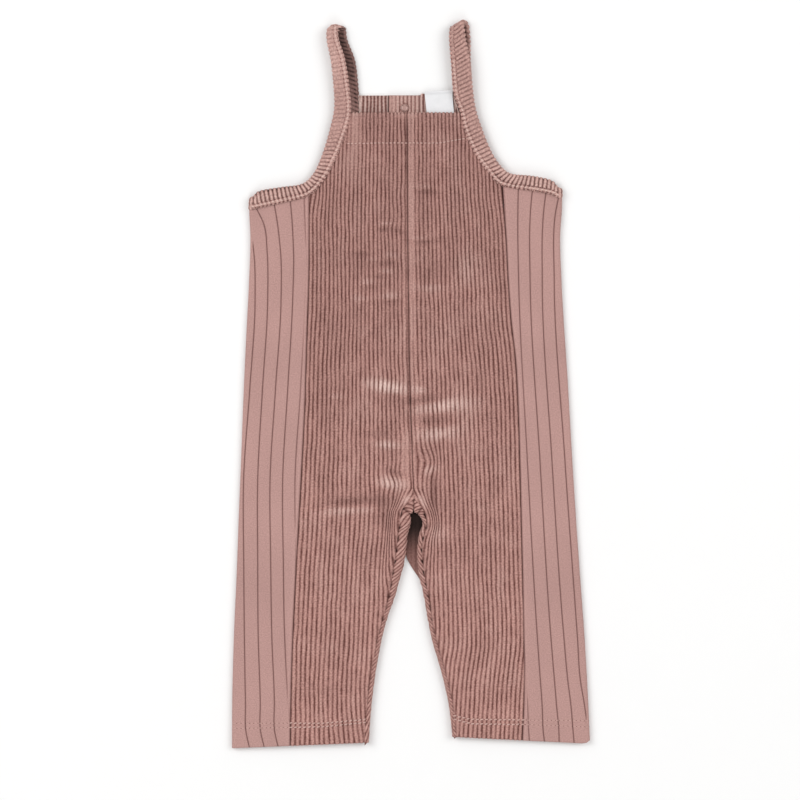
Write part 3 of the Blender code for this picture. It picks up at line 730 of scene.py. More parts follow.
class Web:
    """The node tree of one material, with one method that adds any node."""

    def __init__(self, name: str) -> None:
        """Start the material with its Principled shader.

        Args:
            name: The material's name.
        """
        self.material = bpy.data.materials.new(name)
        self.material.use_nodes = True
        self.tree = self.material.node_tree
        self.shader = self.tree.nodes["Principled BSDF"]

    def node(
        self,
        kind: str,
        settings: dict | None = None,
        values: dict | None = None,
        output: int | str = 0,
    ) -> Sock:
        """Add a node.

        Args:
            kind: The node's type.
            settings: Its own settings, such as a Math node's operation.
            values: A value or a Sock for each of its inputs, by name or number.
            output: The output that is wanted, by name or number.

        Returns:
            That output.
        """
        made = self.tree.nodes.new(kind)
        for name, value in (settings or {}).items():
            setattr(made, name, value)
        for key, value in (values or {}).items():
            self.feed(made.inputs[key], value)
        return Sock(self, made.outputs[output])

    def feed(self, socket: bpy.types.NodeSocket, value: Sock | float | Sequence[float]) -> None:
        """Link a Sock to an input, or set the input's own value.

        Args:
            socket: The input.
            value: What it is to have.
        """
        if isinstance(value, Sock):
            self.tree.links.new(value.socket, socket)
        else:
            socket.default_value = value

    def math(self, operation: str, *values: Sock | float) -> Sock:
        """A Math node on these values."""
        return self.node("ShaderNodeMath", {"operation": operation}, dict(enumerate(values)))

    def clamp(self, value: Sock) -> Sock:
        """The value, kept from 0 to 1."""
        return self.node("ShaderNodeClamp", values={0: value})

    def mix(self, share: Sock | float, first: Sock | Colour, second: Sock | Colour) -> Sock:
        """A colour between two colours.

        Args:
            share: How far it is from the first, 0, to the second, 1.
            first: The first colour.
            second: The second colour.

        Returns:
            The colour.
        """
        pair = [(*c, 1.0) if isinstance(c, tuple) else c for c in (first, second)]
        settings = {"data_type": "RGBA", "clamp_factor": True}
        return self.node("ShaderNodeMix", settings, {0: share, 6: pair[0], 7: pair[1]}, 2)

    def scale(self, colour: Sock | Colour, by: Sock) -> Sock:
        """A colour made lighter or darker."""
        values = {0: colour, "Scale": by}
        return self.node("ShaderNodeVectorMath", {"operation": "SCALE"}, values)

    def vector(self, x: Sock | float, y: Sock | float, z: Sock | float) -> Sock:
        """A vector of three numbers."""
        return self.node("ShaderNodeCombineXYZ", values={0: x, 1: y, 2: z})

    def cloth_map(self) -> tuple[Sock, Sock]:
        """The pattern's coordinates across and along the cloth."""
        mapped = self.node("ShaderNodeUVMap", {"uv_map": "cloth"})
        across = self.node("ShaderNodeSeparateXYZ", values={0: mapped})
        return across, Sock(self, across.socket.node.outputs[1])

    def attribute(self, name: str) -> Sock:
        """A number that the mesh carries."""
        return self.node("ShaderNodeAttribute", {"attribute_name": name}, output="Fac")

    def place(self) -> Sock:
        """The Object coordinates."""
        return self.node("ShaderNodeTexCoord", output="Object")

    def noise(self, at: Sock, scale: float, detail: float = 2.0) -> Sock:
        """Soft noise about 0.5, with lumps of one over the scale."""
        values = {"Vector": at, "Scale": scale, "Detail": detail}
        return self.node("ShaderNodeTexNoise", values=values)

    def finish(self, colour: Sock, roughness: Sock | float, height: Sock, depth: float) -> None:
        """Feed the shader.

        Args:
            colour: The surface's colour.
            roughness: Its roughness.
            height: Its fine relief, from 0 to 1.
            depth: How deep that relief is, in millimetres.
        """
        values = {"Strength": 0.8, "Distance": depth * MM, "Height": height}
        lifted = self.node("ShaderNodeBump", values=values)
        self.feed(self.shader.inputs["Base Color"], colour)
        self.feed(self.shader.inputs["Roughness"], roughness)
        self.feed(self.shader.inputs["Normal"], lifted)

    def sheen(self, weight: float, tint: Colour) -> None:
        """Give the shader a cloth's sheen and dull gloss.

        Args:
            weight: How strong the sheen is.
            tint: Its colour.
        """
        settings = {"Sheen Weight": weight, "Sheen Roughness": 0.5, "Specular IOR Level": 0.2}
        for name, value in (*settings.items(), ("Sheen Tint", (*tint, 1.0))):
            self.shader.inputs[name].default_value = value


@dataclass(frozen=True)
class CordPile:
    """Napped corduroy: pale crests, deep grooves, a mottled pile, painted shade and highlights."""

    name: str
    crest: Colour = (0.440, 0.244, 0.212)
    # The grooves' colour: the cloth's own darker base, deepened with painted shade.
    groove: Colour = (0.118, 0.040, 0.033)
    # The colour of painted shade, mixed in where the tone is below 0.
    deep: Colour = (0.060, 0.018, 0.015)
    sharpness: float = 1.0
    # The colour of painted highlights, mixed in on the crests where the tone is above 0.
    pale: Colour = (0.68, 0.49, 0.44)
    mottle: float = 0.34
    patchiness: float = 0.30
    # How much darker the colour grows per unit along the cloth map, towards the top of the
    # garment.
    darkening_along: float = 0.00045

    def make(self) -> bpy.types.Material:
        """Make the material, patterned on the cloth map and the tone.

        Returns:
            The material.
        """
        web = Web(self.name)
        across, along = web.cloth_map()
        tone = web.attribute("tone")
        height = web.math("ABSOLUTE", web.math("SINE", across * math.pi)) ** self.sharpness
        height = 1.0 - (1.0 - height) * web.attribute("nap")
        pile = web.noise(web.vector(across * 3.1, along * 0.75, 0.0), 1.0, 3.0)
        speck = web.clamp((pile - 0.5) * 3.0 + 0.5) - 0.5
        patch = web.noise(web.vector(across * 0.22, along * 0.035, 3.0), 1.0, 2.0)
        lit = web.clamp(height + speck * self.mottle)
        colour = web.mix(lit, self.groove, self.crest)
        # Painted highlight: above a tone of 0 the crests turn towards the pale colour.
        highlight_share = web.math("MAXIMUM", tone, 0.0) * height**1.5
        colour = web.mix(highlight_share * 1.1, colour, self.pale)
        light = 1.0 + (patch - 0.5) * self.patchiness + speck * self.mottle
        light = light - along * self.darkening_along
        colour = web.scale(colour, light)
        # Painted shade: below a tone of 0 the colour turns towards the deep colour, below -1
        # towards black.
        dark = web.clamp(tone * -1.0)
        colour = web.mix(dark * (0.9 - height * 0.25), colour, self.deep)
        black = 1.0 + web.math("MINIMUM", tone + 1.0, 0.0) * 2.4
        colour = web.scale(colour, web.math("MAXIMUM", black, 0.02))
        fibre = web.noise(web.vector(across * 9.0, along * 2.6, 7.0), 1.0, 2.0)
        web.finish(colour, 0.82 + fibre * 0.16, fibre * 0.6 + pile * 0.4, 0.28)
        web.sheen(0.12, (1.0, 0.72, 0.66))
        return web.material


@dataclass(frozen=True)
class RibJersey:
    """Flat rib jersey: a smooth fine knit, with painted shade in its furrows."""

    name: str
    face: Colour = (0.446, 0.264, 0.240)
    # The colour that painted shade turns the knit to, in its furrows and seams.
    furrow: Colour = (0.125, 0.052, 0.045)
    stitch_width: float = 0.95
    course_height: float = 0.80

    def make(self) -> bpy.types.Material:
        """Make the material, patterned on the cloth map and the tone.

        Returns:
            The material.
        """
        web = Web(self.name)
        across, along = web.cloth_map()
        tone = web.attribute("tone")
        column = across / self.stitch_width
        leg = web.math("PINGPONG", column, 0.5)
        row = along / self.course_height + leg * 1.4
        loop = web.math("PINGPONG", row, 0.5) * 2.0
        valley = web.math("ABSOLUTE", web.math("SINE", column * (2.0 * math.pi)))
        knit = loop * 0.6 + valley * 0.4
        grain = web.noise(web.vector(across * 1.1, along * 1.1, 0.0), 1.0, 3.0)
        patch = web.noise(web.vector(across * 0.03, along * 0.015, 5.0), 1.0, 2.0)
        # Painted shade where the tone is below 0, and a painted highlight where it is above 0.
        dark = web.clamp(web.math("MINIMUM", tone, 0.0) * -1.0)
        colour = web.mix(dark, self.face, self.furrow)
        lift = web.math("MAXIMUM", tone, 0.0) * 0.25
        speck = web.clamp((grain - 0.5) * 3.0 + 0.5) - 0.5
        light = 0.89 + speck * 0.30 + (patch - 0.5) * 0.24 + knit * 0.22 + lift
        web.finish(web.scale(colour, light), 0.80 + grain * 0.12, knit, 0.16)
        web.sheen(0.12, (1.0, 0.86, 0.80))
        return web.material


@dataclass(frozen=True)
class SewingThread:
    """Twisted thread in the cloth's colour, a little lighter than the pile."""

    name: str
    colour: Colour = (0.74, 0.52, 0.465)
    shade: Colour = (0.42, 0.24, 0.21)

    def make(self) -> bpy.types.Material:
        """Make the material, patterned on Object coordinates.

        Returns:
            The material.
        """
        web = Web(self.name)
        ply = web.noise(web.place(), 1500.0, 2.0)
        colour = web.mix(web.clamp(ply * 1.6 - 0.3), self.shade, self.colour)
        web.finish(colour, 0.62, ply, 0.12)
        web.sheen(0.2, (1.0, 0.88, 0.84))
        return web.material


@dataclass(frozen=True)
class NeedlePitShade:
    """Painted shade in the dimple that a needle leaves in the pile, laid on as a dark bead."""

    name: str
    colour: Colour = (0.085, 0.032, 0.027)

    def make(self) -> bpy.types.Material:
        """Make the material, patterned on Object coordinates.

        Returns:
            The material.
        """
        web = Web(self.name)
        fibre = web.noise(web.place(), 1800.0, 2.0)
        colour = web.mix(fibre, self.colour, tuple(2.2 * part for part in self.colour))
        web.finish(colour, 0.95, fibre, 0.1)
        return web.material


@dataclass(frozen=True)
class SatinTape:
    """White satin tape with a fine crosswise weave."""

    name: str
    colour: Colour = (0.80, 0.80, 0.815)

    def make(self) -> bpy.types.Material:
        """Make the material, patterned on the cloth map.

        Returns:
            The material.
        """
        web = Web(self.name)
        across, along = web.cloth_map()
        weft = web.math("PINGPONG", along * 2.6, 0.5) * 2.0
        warp = web.math("PINGPONG", across * 3.4, 0.5) * 2.0
        cloudy = web.noise(web.vector(across * 0.12, along * 0.2, 0.0), 1.0, 2.0)
        grain = web.noise(web.vector(across * 1.3, along * 1.3, 4.0), 1.0, 2.0)
        light = 0.90 + weft * 0.05 + (cloudy - 0.5) * 0.12 + (grain - 0.5) * 0.10
        # Painted shade where the tone is below 0.
        tone = 1.0 + web.math("MINIMUM", web.attribute("tone"), 0.0) * 0.5
        colour = web.scale(self.colour, light * tone)
        web.finish(colour, 0.42 + warp * 0.1, weft * 0.7 + warp * 0.3, 0.05)
        web.sheen(0.1, (1.0, 1.0, 1.0))
        return web.material


@dataclass(frozen=True)
class SnapEnamel:
    """Rose enamel over metal, rubbed brighter in small random patches."""

    name: str
    colour: Colour = (0.41, 0.245, 0.215)
    rubbed: Colour = (0.52, 0.36, 0.32)

    def make(self) -> bpy.types.Material:
        """Make the material, patterned on Object coordinates.

        Returns:
            The material.
        """
        web = Web(self.name)
        wear = web.noise(web.place(), 900.0, 3.0)
        share = web.clamp((wear - 0.48) * 4.0)
        web.finish(web.mix(share * 0.5, self.colour, self.rubbed), 0.32 + wear * 0.2, wear, 0.02)
        web.shader.inputs["Metallic"].default_value = 0.35
        web.shader.inputs["Coat Weight"].default_value = 0.3
        return web.material


@dataclass(frozen=True)
class PalePaper:
    """The plain pale ground."""

    name: str
    colour: Colour = (0.86, 0.86, 0.86)

    def make(self) -> bpy.types.Material:
        """Make the material, with the faintest grain.

        Returns:
            The material.
        """
        web = Web(self.name)
        grain = web.noise(web.place(), 40.0, 2.0)
        light = 0.995 + grain * 0.01
        web.finish(web.scale(self.colour, light), 0.9, grain, 0.01)
        return web.material


# ---- cloth meshes


@dataclass
class ClothGrid:
    """Rows and columns of points on a cloth's outer face, with what its finish reads.

    Points that fall together are merged, so a row may be narrower than its neighbour.
    """

    points: Array
    across: Array
    along: Array
    # Tone below 0 is painted shade and above 0 a painted highlight, with a little random tone
    # mixed in.
    tone: Array
    ply: Array
    nap: Array | float = 1.0
    ring: bool = False

    def quads(self, start: int) -> Array:
        """Corner numbers of the grid's quads, when its first point has this number.

        Args:
            start: The first point's number.

        Returns:
            Four numbers for each quad.
        """
        rows, columns = self.points.shape[:2]
        number = np.arange(rows * columns).reshape(rows, columns) + start
        if self.ring:
            number = np.vstack([number, number[:1]])
        corners = (number[:-1, :-1], number[1:, :-1], number[1:, 1:], number[:-1, 1:])
        return np.stack(corners, axis=-1).reshape(-1, 4)


def added(name: str, data: bpy.types.ID) -> bpy.types.Object:
    """Put a new object with this data into the scene."""
    obj = bpy.data.objects.new(name, data)
    bpy.context.scene.collection.objects.link(obj)
    return obj


def select_only(*objects: bpy.types.Object) -> None:
    """Make these the only selected objects, and the first of them active."""
    bpy.ops.object.select_all(action="DESELECT")
    for obj in objects:
        obj.select_set(True)
    bpy.context.view_layer.objects.active = objects[0]


def sew(
    name: str,
    grids: Sequence[ClothGrid],
    finish: bpy.types.Material,
    wall: float = 0.0,
    flip: bool = False,
) -> bpy.types.Object:
    """Make a cloth piece from the grids of its outer face.

    Args:
        name: The piece's name.
        grids: Grids that share their edges.
        finish: The piece's material.
        wall: The cloth's thickness where its ply is 1, or 0 for a face that is closed.
        flip: Whether the grids' quads run the other way round.

    Returns:
        The piece, with its wall applied.
    """
    points = np.concatenate([g.points.reshape(-1, 3) for g in grids])
    across, along, tone, ply, nap = (
        np.concatenate([np.broadcast_to(getattr(g, part), g.tone.shape).ravel() for g in grids])
        for part in ("across", "along", "tone", "ply", "nap")
    )
    starts = np.cumsum([0] + [g.points.shape[0] * g.points.shape[1] for g in grids])
    quads = np.concatenate([g.quads(start) for g, start in zip(grids, starts)])
    if flip:
        quads = quads[:, ::-1]
    keys = np.round(points / 0.003).astype(np.int64)
    _, first, number = np.unique(keys, axis=0, return_index=True, return_inverse=True)
    corners = number.reshape(-1)[quads]
    keep = corners != np.roll(corners, -1, axis=1)
    whole = keep.sum(axis=1) >= 3
    quads, corners, keep = quads[whole], corners[whole], keep[whole]
    used, loops = np.unique(corners[keep], return_inverse=True)
    sources, kept = quads[keep], first[used]
    mesh = bpy.data.meshes.new(name)
    mesh.vertices.add(len(kept))
    mesh.vertices.foreach_set("co", (points[kept] * MM).astype(np.float32).ravel())
    mesh.loops.add(len(loops))
    mesh.loops.foreach_set("vertex_index", loops.reshape(-1).astype(np.int32))
    sides = keep.sum(axis=1)
    mesh.polygons.add(len(sides))
    mesh.polygons.foreach_set("loop_start", (np.cumsum(sides) - sides).astype(np.int32))
    mesh.update(calc_edges=True)
    layer = mesh.uv_layers.new(name="cloth")
    pairs = np.stack([across[sources], along[sources]], axis=1)
    layer.data.foreach_set("uv", pairs.astype(np.float32).ravel())
    for part, values in (("tone", tone), ("nap", nap)):
        carried = mesh.attributes.new(part, "FLOAT", "POINT")
        carried.data.foreach_set("value", values[kept].astype(np.float32))
    mesh.validate()
    mesh.materials.append(finish)
    obj = added(name, mesh)
    if wall:
        group = obj.vertex_groups.new(name="ply")
        shares = np.round(ply[kept], 2)
        for share in np.unique(shares):
            group.add(np.flatnonzero(shares == share).tolist(), float(share), "REPLACE")
        solidify = obj.modifiers.new("wall", "SOLIDIFY")
        solidify.thickness = wall * MM
        solidify.offset = -1.0
        solidify.vertex_group = "ply"
        select_only(obj)
        bpy.ops.object.modifier_apply(modifier="wall")
    select_only(obj)
    bpy.ops.object.shade_smooth_by_angle(angle=CLOTH_SHARP_ANGLE)
    return obj


def displaced(points: Array, heights: Array, outward: float) -> Array:
    """Move a grid's points along its normals.

    Args:
        points: The grid, rows by columns.
        heights: How far each point moves.
        outward: 1 or -1, to choose the side that counts as outward.

    Returns:
        The moved grid.
    """
    down = np.gradient(points, axis=0)
    over = np.gradient(points, axis=1)
    normal = np.cross(down, over) * outward
    length = np.linalg.norm(normal, axis=2, keepdims=True)
    return points + normal / np.maximum(length, 1e-9) * heights[..., None]


# ---- garment


@dataclass
class Cut:
    """The outline of one half of the garment as it lies, and the run of its cords."""

    side: Side
    fine_steps: int = 8
    armhole: Array = field(init=False)
    back_armhole: Array = field(init=False)
    legs: Array = field(init=False)

    def __post_init__(self) -> None:
        """Work out the fine curves of the armholes and the inside leg."""
        rows = np.array(RINGS[self.side], float)
        front = smooth_rows(rows[:, 2:4], self.fine_steps)
        aside = rows[:, 2:4] + np.stack([rows[:, 5], 0 * rows[:, 5]], axis=1)
        back = smooth_rows(aside, self.fine_steps)
        cut = slice(SEAM_CORNER * self.fine_steps, BIB_CORNER * self.fine_steps + 1)
        self.armhole = front[cut]
        self.back_armhole = back[SEAM_CORNER * self.fine_steps : STRAP_FOOT * self.fine_steps + 1]
        self.legs = smooth_rows(np.array(LEGS[self.side], float), self.fine_steps)

    def fold_x(self, y: Array) -> Array:
        """The side fold."""
        return curve(BODY, f"{self.side.tag}_fold", y)

    def seam_x(self, y: Array) -> Array:
        """The side seam."""
        return curve(BODY, f"{self.side.tag}_seam", y)

    def outer_x(self, y: Array, back: bool = False) -> Array:
        """The outer edge of a corduroy panel: armhole, then side seam.

        Args:
            y: Heights along the garment.
            back: Whether it is the back panel.

        Returns:
            The edge's place across at each height.
        """
        line = self.back_armhole if back else self.armhole
        above = np.interp(y, line[:, 1], line[:, 0])
        return np.where(y >= line[0, 1], above, self.seam_x(y))

    def inner_x(self, y: Array) -> Array:
        """The inner edge of the front panel: centre seam, then inseam."""
        below = np.interp(y, self.legs[::-1, 3], self.legs[::-1, 2])
        return np.where(y >= CROTCH_Y, curve(CENTRE, "x", y), below)

    def held_edge(self, y: Array, edge: Array) -> Array:
        """The line that the cords follow: above the crotch it flares sooner than the cloth.

        Args:
            y: Heights along the garment.
            edge: The panel's inner edge there.

        Returns:
            The line's place across at each height.
        """
        start, end = CROTCH_Y + FLARE_RISE, LEGS[self.side][1]
        centre = curve(CENTRE, "x", start)
        flared = centre + (end.seam_x - centre) * (start - y) / (start - end.seam_y)
        return np.where((y < start) & (y > end.seam_y), flared, edge)

    def phase(self, x: Array, y: Array, edge: Array, drawn: bool) -> Array:
        """Count cords from the side seam inwards.

        Args:
            x: Places across.
            y: Their heights.
            edge: The panel's inner edge at those heights.
            drawn: Whether creases draw the cords aside, as on the front.

        Returns:
            The cord count at each place: whole numbers are grooves.
        """
        zero, pitch = (curve(CORDS[self.side], part, y) for part in ("zero", "pitch"))
        moved = x + 0.40 * wander(11, x / 7.0, y / 15.0) + 0.14 * wander(13, x / 3.0, y / 6.0)
        if drawn:
            for pull in PULLS:
                reach = hump(x - pull.x, pull.half_width) * hump(y - pull.y, pull.half_height)
                moved = moved - pull.aside * reach
        count = self.side.value * (zero - moved) / pitch
        if drawn:
            edge = self.held_edge(y, edge)
            missing = CORD_COUNT[self.side] - self.side.value * (zero - edge) / pitch
            share = np.where(y < -80.0, curve(EDGE_HOLD, "share", y), 0.0)
            reach = ease((EDGE_HOLD_REACH - np.abs(edge - x)) / (EDGE_HOLD_REACH - EDGE_HOLD_FULL))
            count = count + share * missing * reach
        return count

    def columns(
        self, rows: Array, outer: Array, inner: Array, per_cord: int, drawn: bool
    ) -> tuple[Array, Array]:
        """Places across each row, at fixed parts of each cord, kept within the panel.

        Args:
            rows: The rows' heights.
            outer: The panel's outer edge at each row.
            inner: The panel's inner edge at each row.
            per_cord: Columns for each cord.
            drawn: Whether creases draw the cords aside.

        Returns:
            The places across, rows by columns, and the cord count at each.
        """
        most = math.ceil(CORD_COUNT[self.side] + 1.5)
        wanted = np.arange(-2 * per_cord, most * per_cord + 1) / per_cord
        x, phase = [], []
        for y, start, end in zip(rows, outer, inner):
            across = np.linspace(start, end, COUNTED_PLACES)
            counts = np.maximum.accumulate(self.phase(across, y, end, drawn))
            counts = counts + np.arange(COUNTED_PLACES) * COUNT_STEP
            x.append(np.interp(wanted, counts, across))
            phase.append(np.clip(wanted, counts[0], counts[-1]))
        return np.array(x), np.array(phase)


def top_height(y: Array, across: Array) -> Array:
    """Height of the front from its side seam (0) to its inner edge (1).

    Args:
        y: Heights along the garment.
        across: The share of the way to the inner edge.

    Returns:
        The height of each place above the ground.
    """
    seam, inner = curve(HEIGHTS, "seam", y), curve(HEIGHTS, "inner", y)
    crown = curve(HEIGHTS, "bulge", y) * np.sin(np.pi * across)
    return seam + (inner - seam) * ease(across) + crown


def folds_at(folds: Sequence[Fold], x: Array, y: Array, part: str) -> Array:
    """Add up these folds' lift or tone at these places.

    Args:
        folds: The folds.
        x: Places across.
        y: Their heights.
        part: "lift" or "tone".

    Returns:
        The sum at each place.
    """
    total = np.zeros(np.broadcast(x, y).shape)
    for fold in folds:
        turn = math.radians(fold.angle)
        dx, dy = x - fold.x, y - fold.y
        along = dx * math.cos(turn) + dy * math.sin(turn)
        over = dy * math.cos(turn) - dx * math.sin(turn)
        ragged = 1.0 + 0.22 * wander(23, x / 4.0, y / 60.0)
        reach = hump(along, fold.half_length) * hump(over, fold.half_width * 1.15)
        total = total + getattr(fold, part) * reach * ragged
    return total


def puckered(y: Array, from_seam: Array) -> Array:
    """How deep in a pucker of the inseam each place is: 1 between two bulges of cloth."""
    beat = np.cos(2.0 * math.pi * (y - PUCKER_SLANT * from_seam) / PUCKER_PITCH)
    return (0.5 - 0.5 * beat) ** 2 * (1.0 - 0.6 * ease((-140.0 - y) / 90.0))


def cord_strength(x: Array, y: Array) -> Array:
    """How strongly the cords stand up at these places, from 0 to 1.

    Args:
        x: Places across.
        y: Their heights.

    Returns:
        The strength at each place.
    """
    kept = np.ones(np.broadcast(x, y).shape)
    for calm in CALMS:
        reach = hump((x - calm.x) / calm.half_width, 1.0)
        reach = reach * hump(((y - calm.y) / calm.half_height) ** 2, 1.0)
        kept = kept * (1.0 - calm.loss * reach)
    return kept


@dataclass
class Piece:
    """A finished piece of the garment, and what it stands for in the frame."""

    obj: bpy.types.Object
    slot: str
    nodes: Sequence[str] = ()

    def place(self) -> None:
        """Let the piece ride on the garment's body and replace its nodes."""
        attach(self.obj, BODY_NAME)
        if self.nodes:
            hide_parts(*self.nodes)
        faces = self.obj.data.polygons
        triangles = sum(len(face.vertices) - 2 for face in faces)
        area = sum(face.area for face in faces) / 2
        LOG.info("%s: %d triangles, %.4f m2 of cloth", self.obj.name, triangles, area)


@dataclass
class FrontPanel:
    """One half of the front: bib, body and leg front in one corduroy sheet."""

    cut: Cut
    cut_width: float = 96.0
    cut_length: float = 505.0
    cut_area: float = 0.0385

    def grid(self) -> ClothGrid:
        """The outer face, with every cord and crease.

        Returns:
            Its grid, from the neck to the hem.
        """
        side = self.cut.side
        sign = side.value
        rows = stations(
            NECK_Y, 0.35, 216.0, 1.0, 213.0, 2.0, 197.5, 0.8, 190.0, 2.0, 150.0, 2.4, -80.0,
            1.3, -120.0, 2.2, -262.0, 1.1, -276.0, 2.0, -285.0, 0.5, HEM_Y,
        )  # fmt: skip
        outer = self.cut.outer_x(rows) - sign * SEAM_GAP
        inner = self.cut.inner_x(rows) + sign * SEAM_GAP / 2
        x, phase = self.cut.columns(rows, outer, inner, COLUMNS_PER_CORD, True)
        y = np.repeat(rows[:, None], x.shape[1], axis=1)
        from_outer, from_inner = np.abs(x - outer[:, None]), np.abs(x - inner[:, None])
        from_neck, from_hem = NECK_Y - y, y - HEM_Y
        strength = cord_strength(x, y) * (1.0 + 0.22 * wander(31, phase, y / 5.0))
        crest = ridge(phase)
        relief = -CORD_DEPTH * strength * (1.0 - crest)
        width = np.abs(inner - outer)[:, None]
        z = top_height(y, from_outer / np.maximum(width, 1.0)) + relief
        z = z + folds_at(FOLDS, x, y, "lift") + 0.18 * wander(37, x / 16.0, y / 22.0)
        below_bib = y < self.cut.armhole[0, 1]
        z = z - np.where(below_bib, 0.55, 0.2) * hump(from_outer, 1.1)
        calmer = 1.0 - 0.6 * ease((-38.0 - y) / 24.0)
        z = z - np.where(y > CROTCH_Y, 0.85 * calmer, 0.5) * hump(from_inner, 1.1)
        pucker = (y < CROTCH_Y) * puckered(y, from_inner) * hump(from_inner, 3.4)
        z = z - 0.5 * pucker
        z = z + fold_over(from_neck, 1.3) + fold_over(from_hem, 1.3)
        z = z - 0.35 * hump(y - np.interp(x, *NECK_STITCHING.T), 0.9)
        # Painted highlights and shade of the folds, with a little random tone.
        tone = folds_at(FOLDS, x, y, "tone") + 0.10 * wander(41, x / 9.0, y / 14.0)
        # Painted shade along the side seam, the centre seam and the inseam, and in the puckers.
        tone = tone - 0.8 * hump(from_outer, np.where(below_bib, 0.6, 0.9))
        tone = tone - np.where(y > CROTCH_Y, 0.95 * calmer, 0.35) * hump(from_inner, 0.85)
        tone = tone - 0.55 * pucker
        # Painted highlight along the neck fold; lighter where the cords are pressed flat.
        tone = tone + 0.14 * hump(from_neck - 1.2, 1.4) + 0.12 * (1.0 - strength)
        tone = tone - 0.12 * (from_hem < LEG_HEM_DEPTH)
        tilted = with_hem_tilt(side, x, y)
        edge_wave = 0.9 * (crest - 0.7) * hump(from_neck, 2.2)
        edge_wave = edge_wave - 0.25 * (crest - 0.55) * hump(from_hem, 2.0)
        points = np.stack([x, tilted + edge_wave, z], axis=-1)
        hemmed = (from_neck < NECK_HEM_DEPTH) | (from_hem < LEG_HEM_DEPTH)
        ply = np.where(hemmed, 1.0, CORD_PLY)
        return ClothGrid(points, phase, y, tone, ply, strength)

    def build(self) -> Piece:
        """Make the panel, with the part of the model that it replaces.

        Returns:
            The finished panel.
        """
        tag = self.cut.side.tag
        finish = CordPile(f"front_{tag}_pile").make()
        flip = self.cut.side is Side.RIGHT
        name = f"front_{tag}_cloth"
        obj = sew(name, [self.grid()], finish, CORD_HEM_WALL, flip)
        return Piece(obj, f"front_{tag}_corduroy", [f"front_panel_{tag}"])


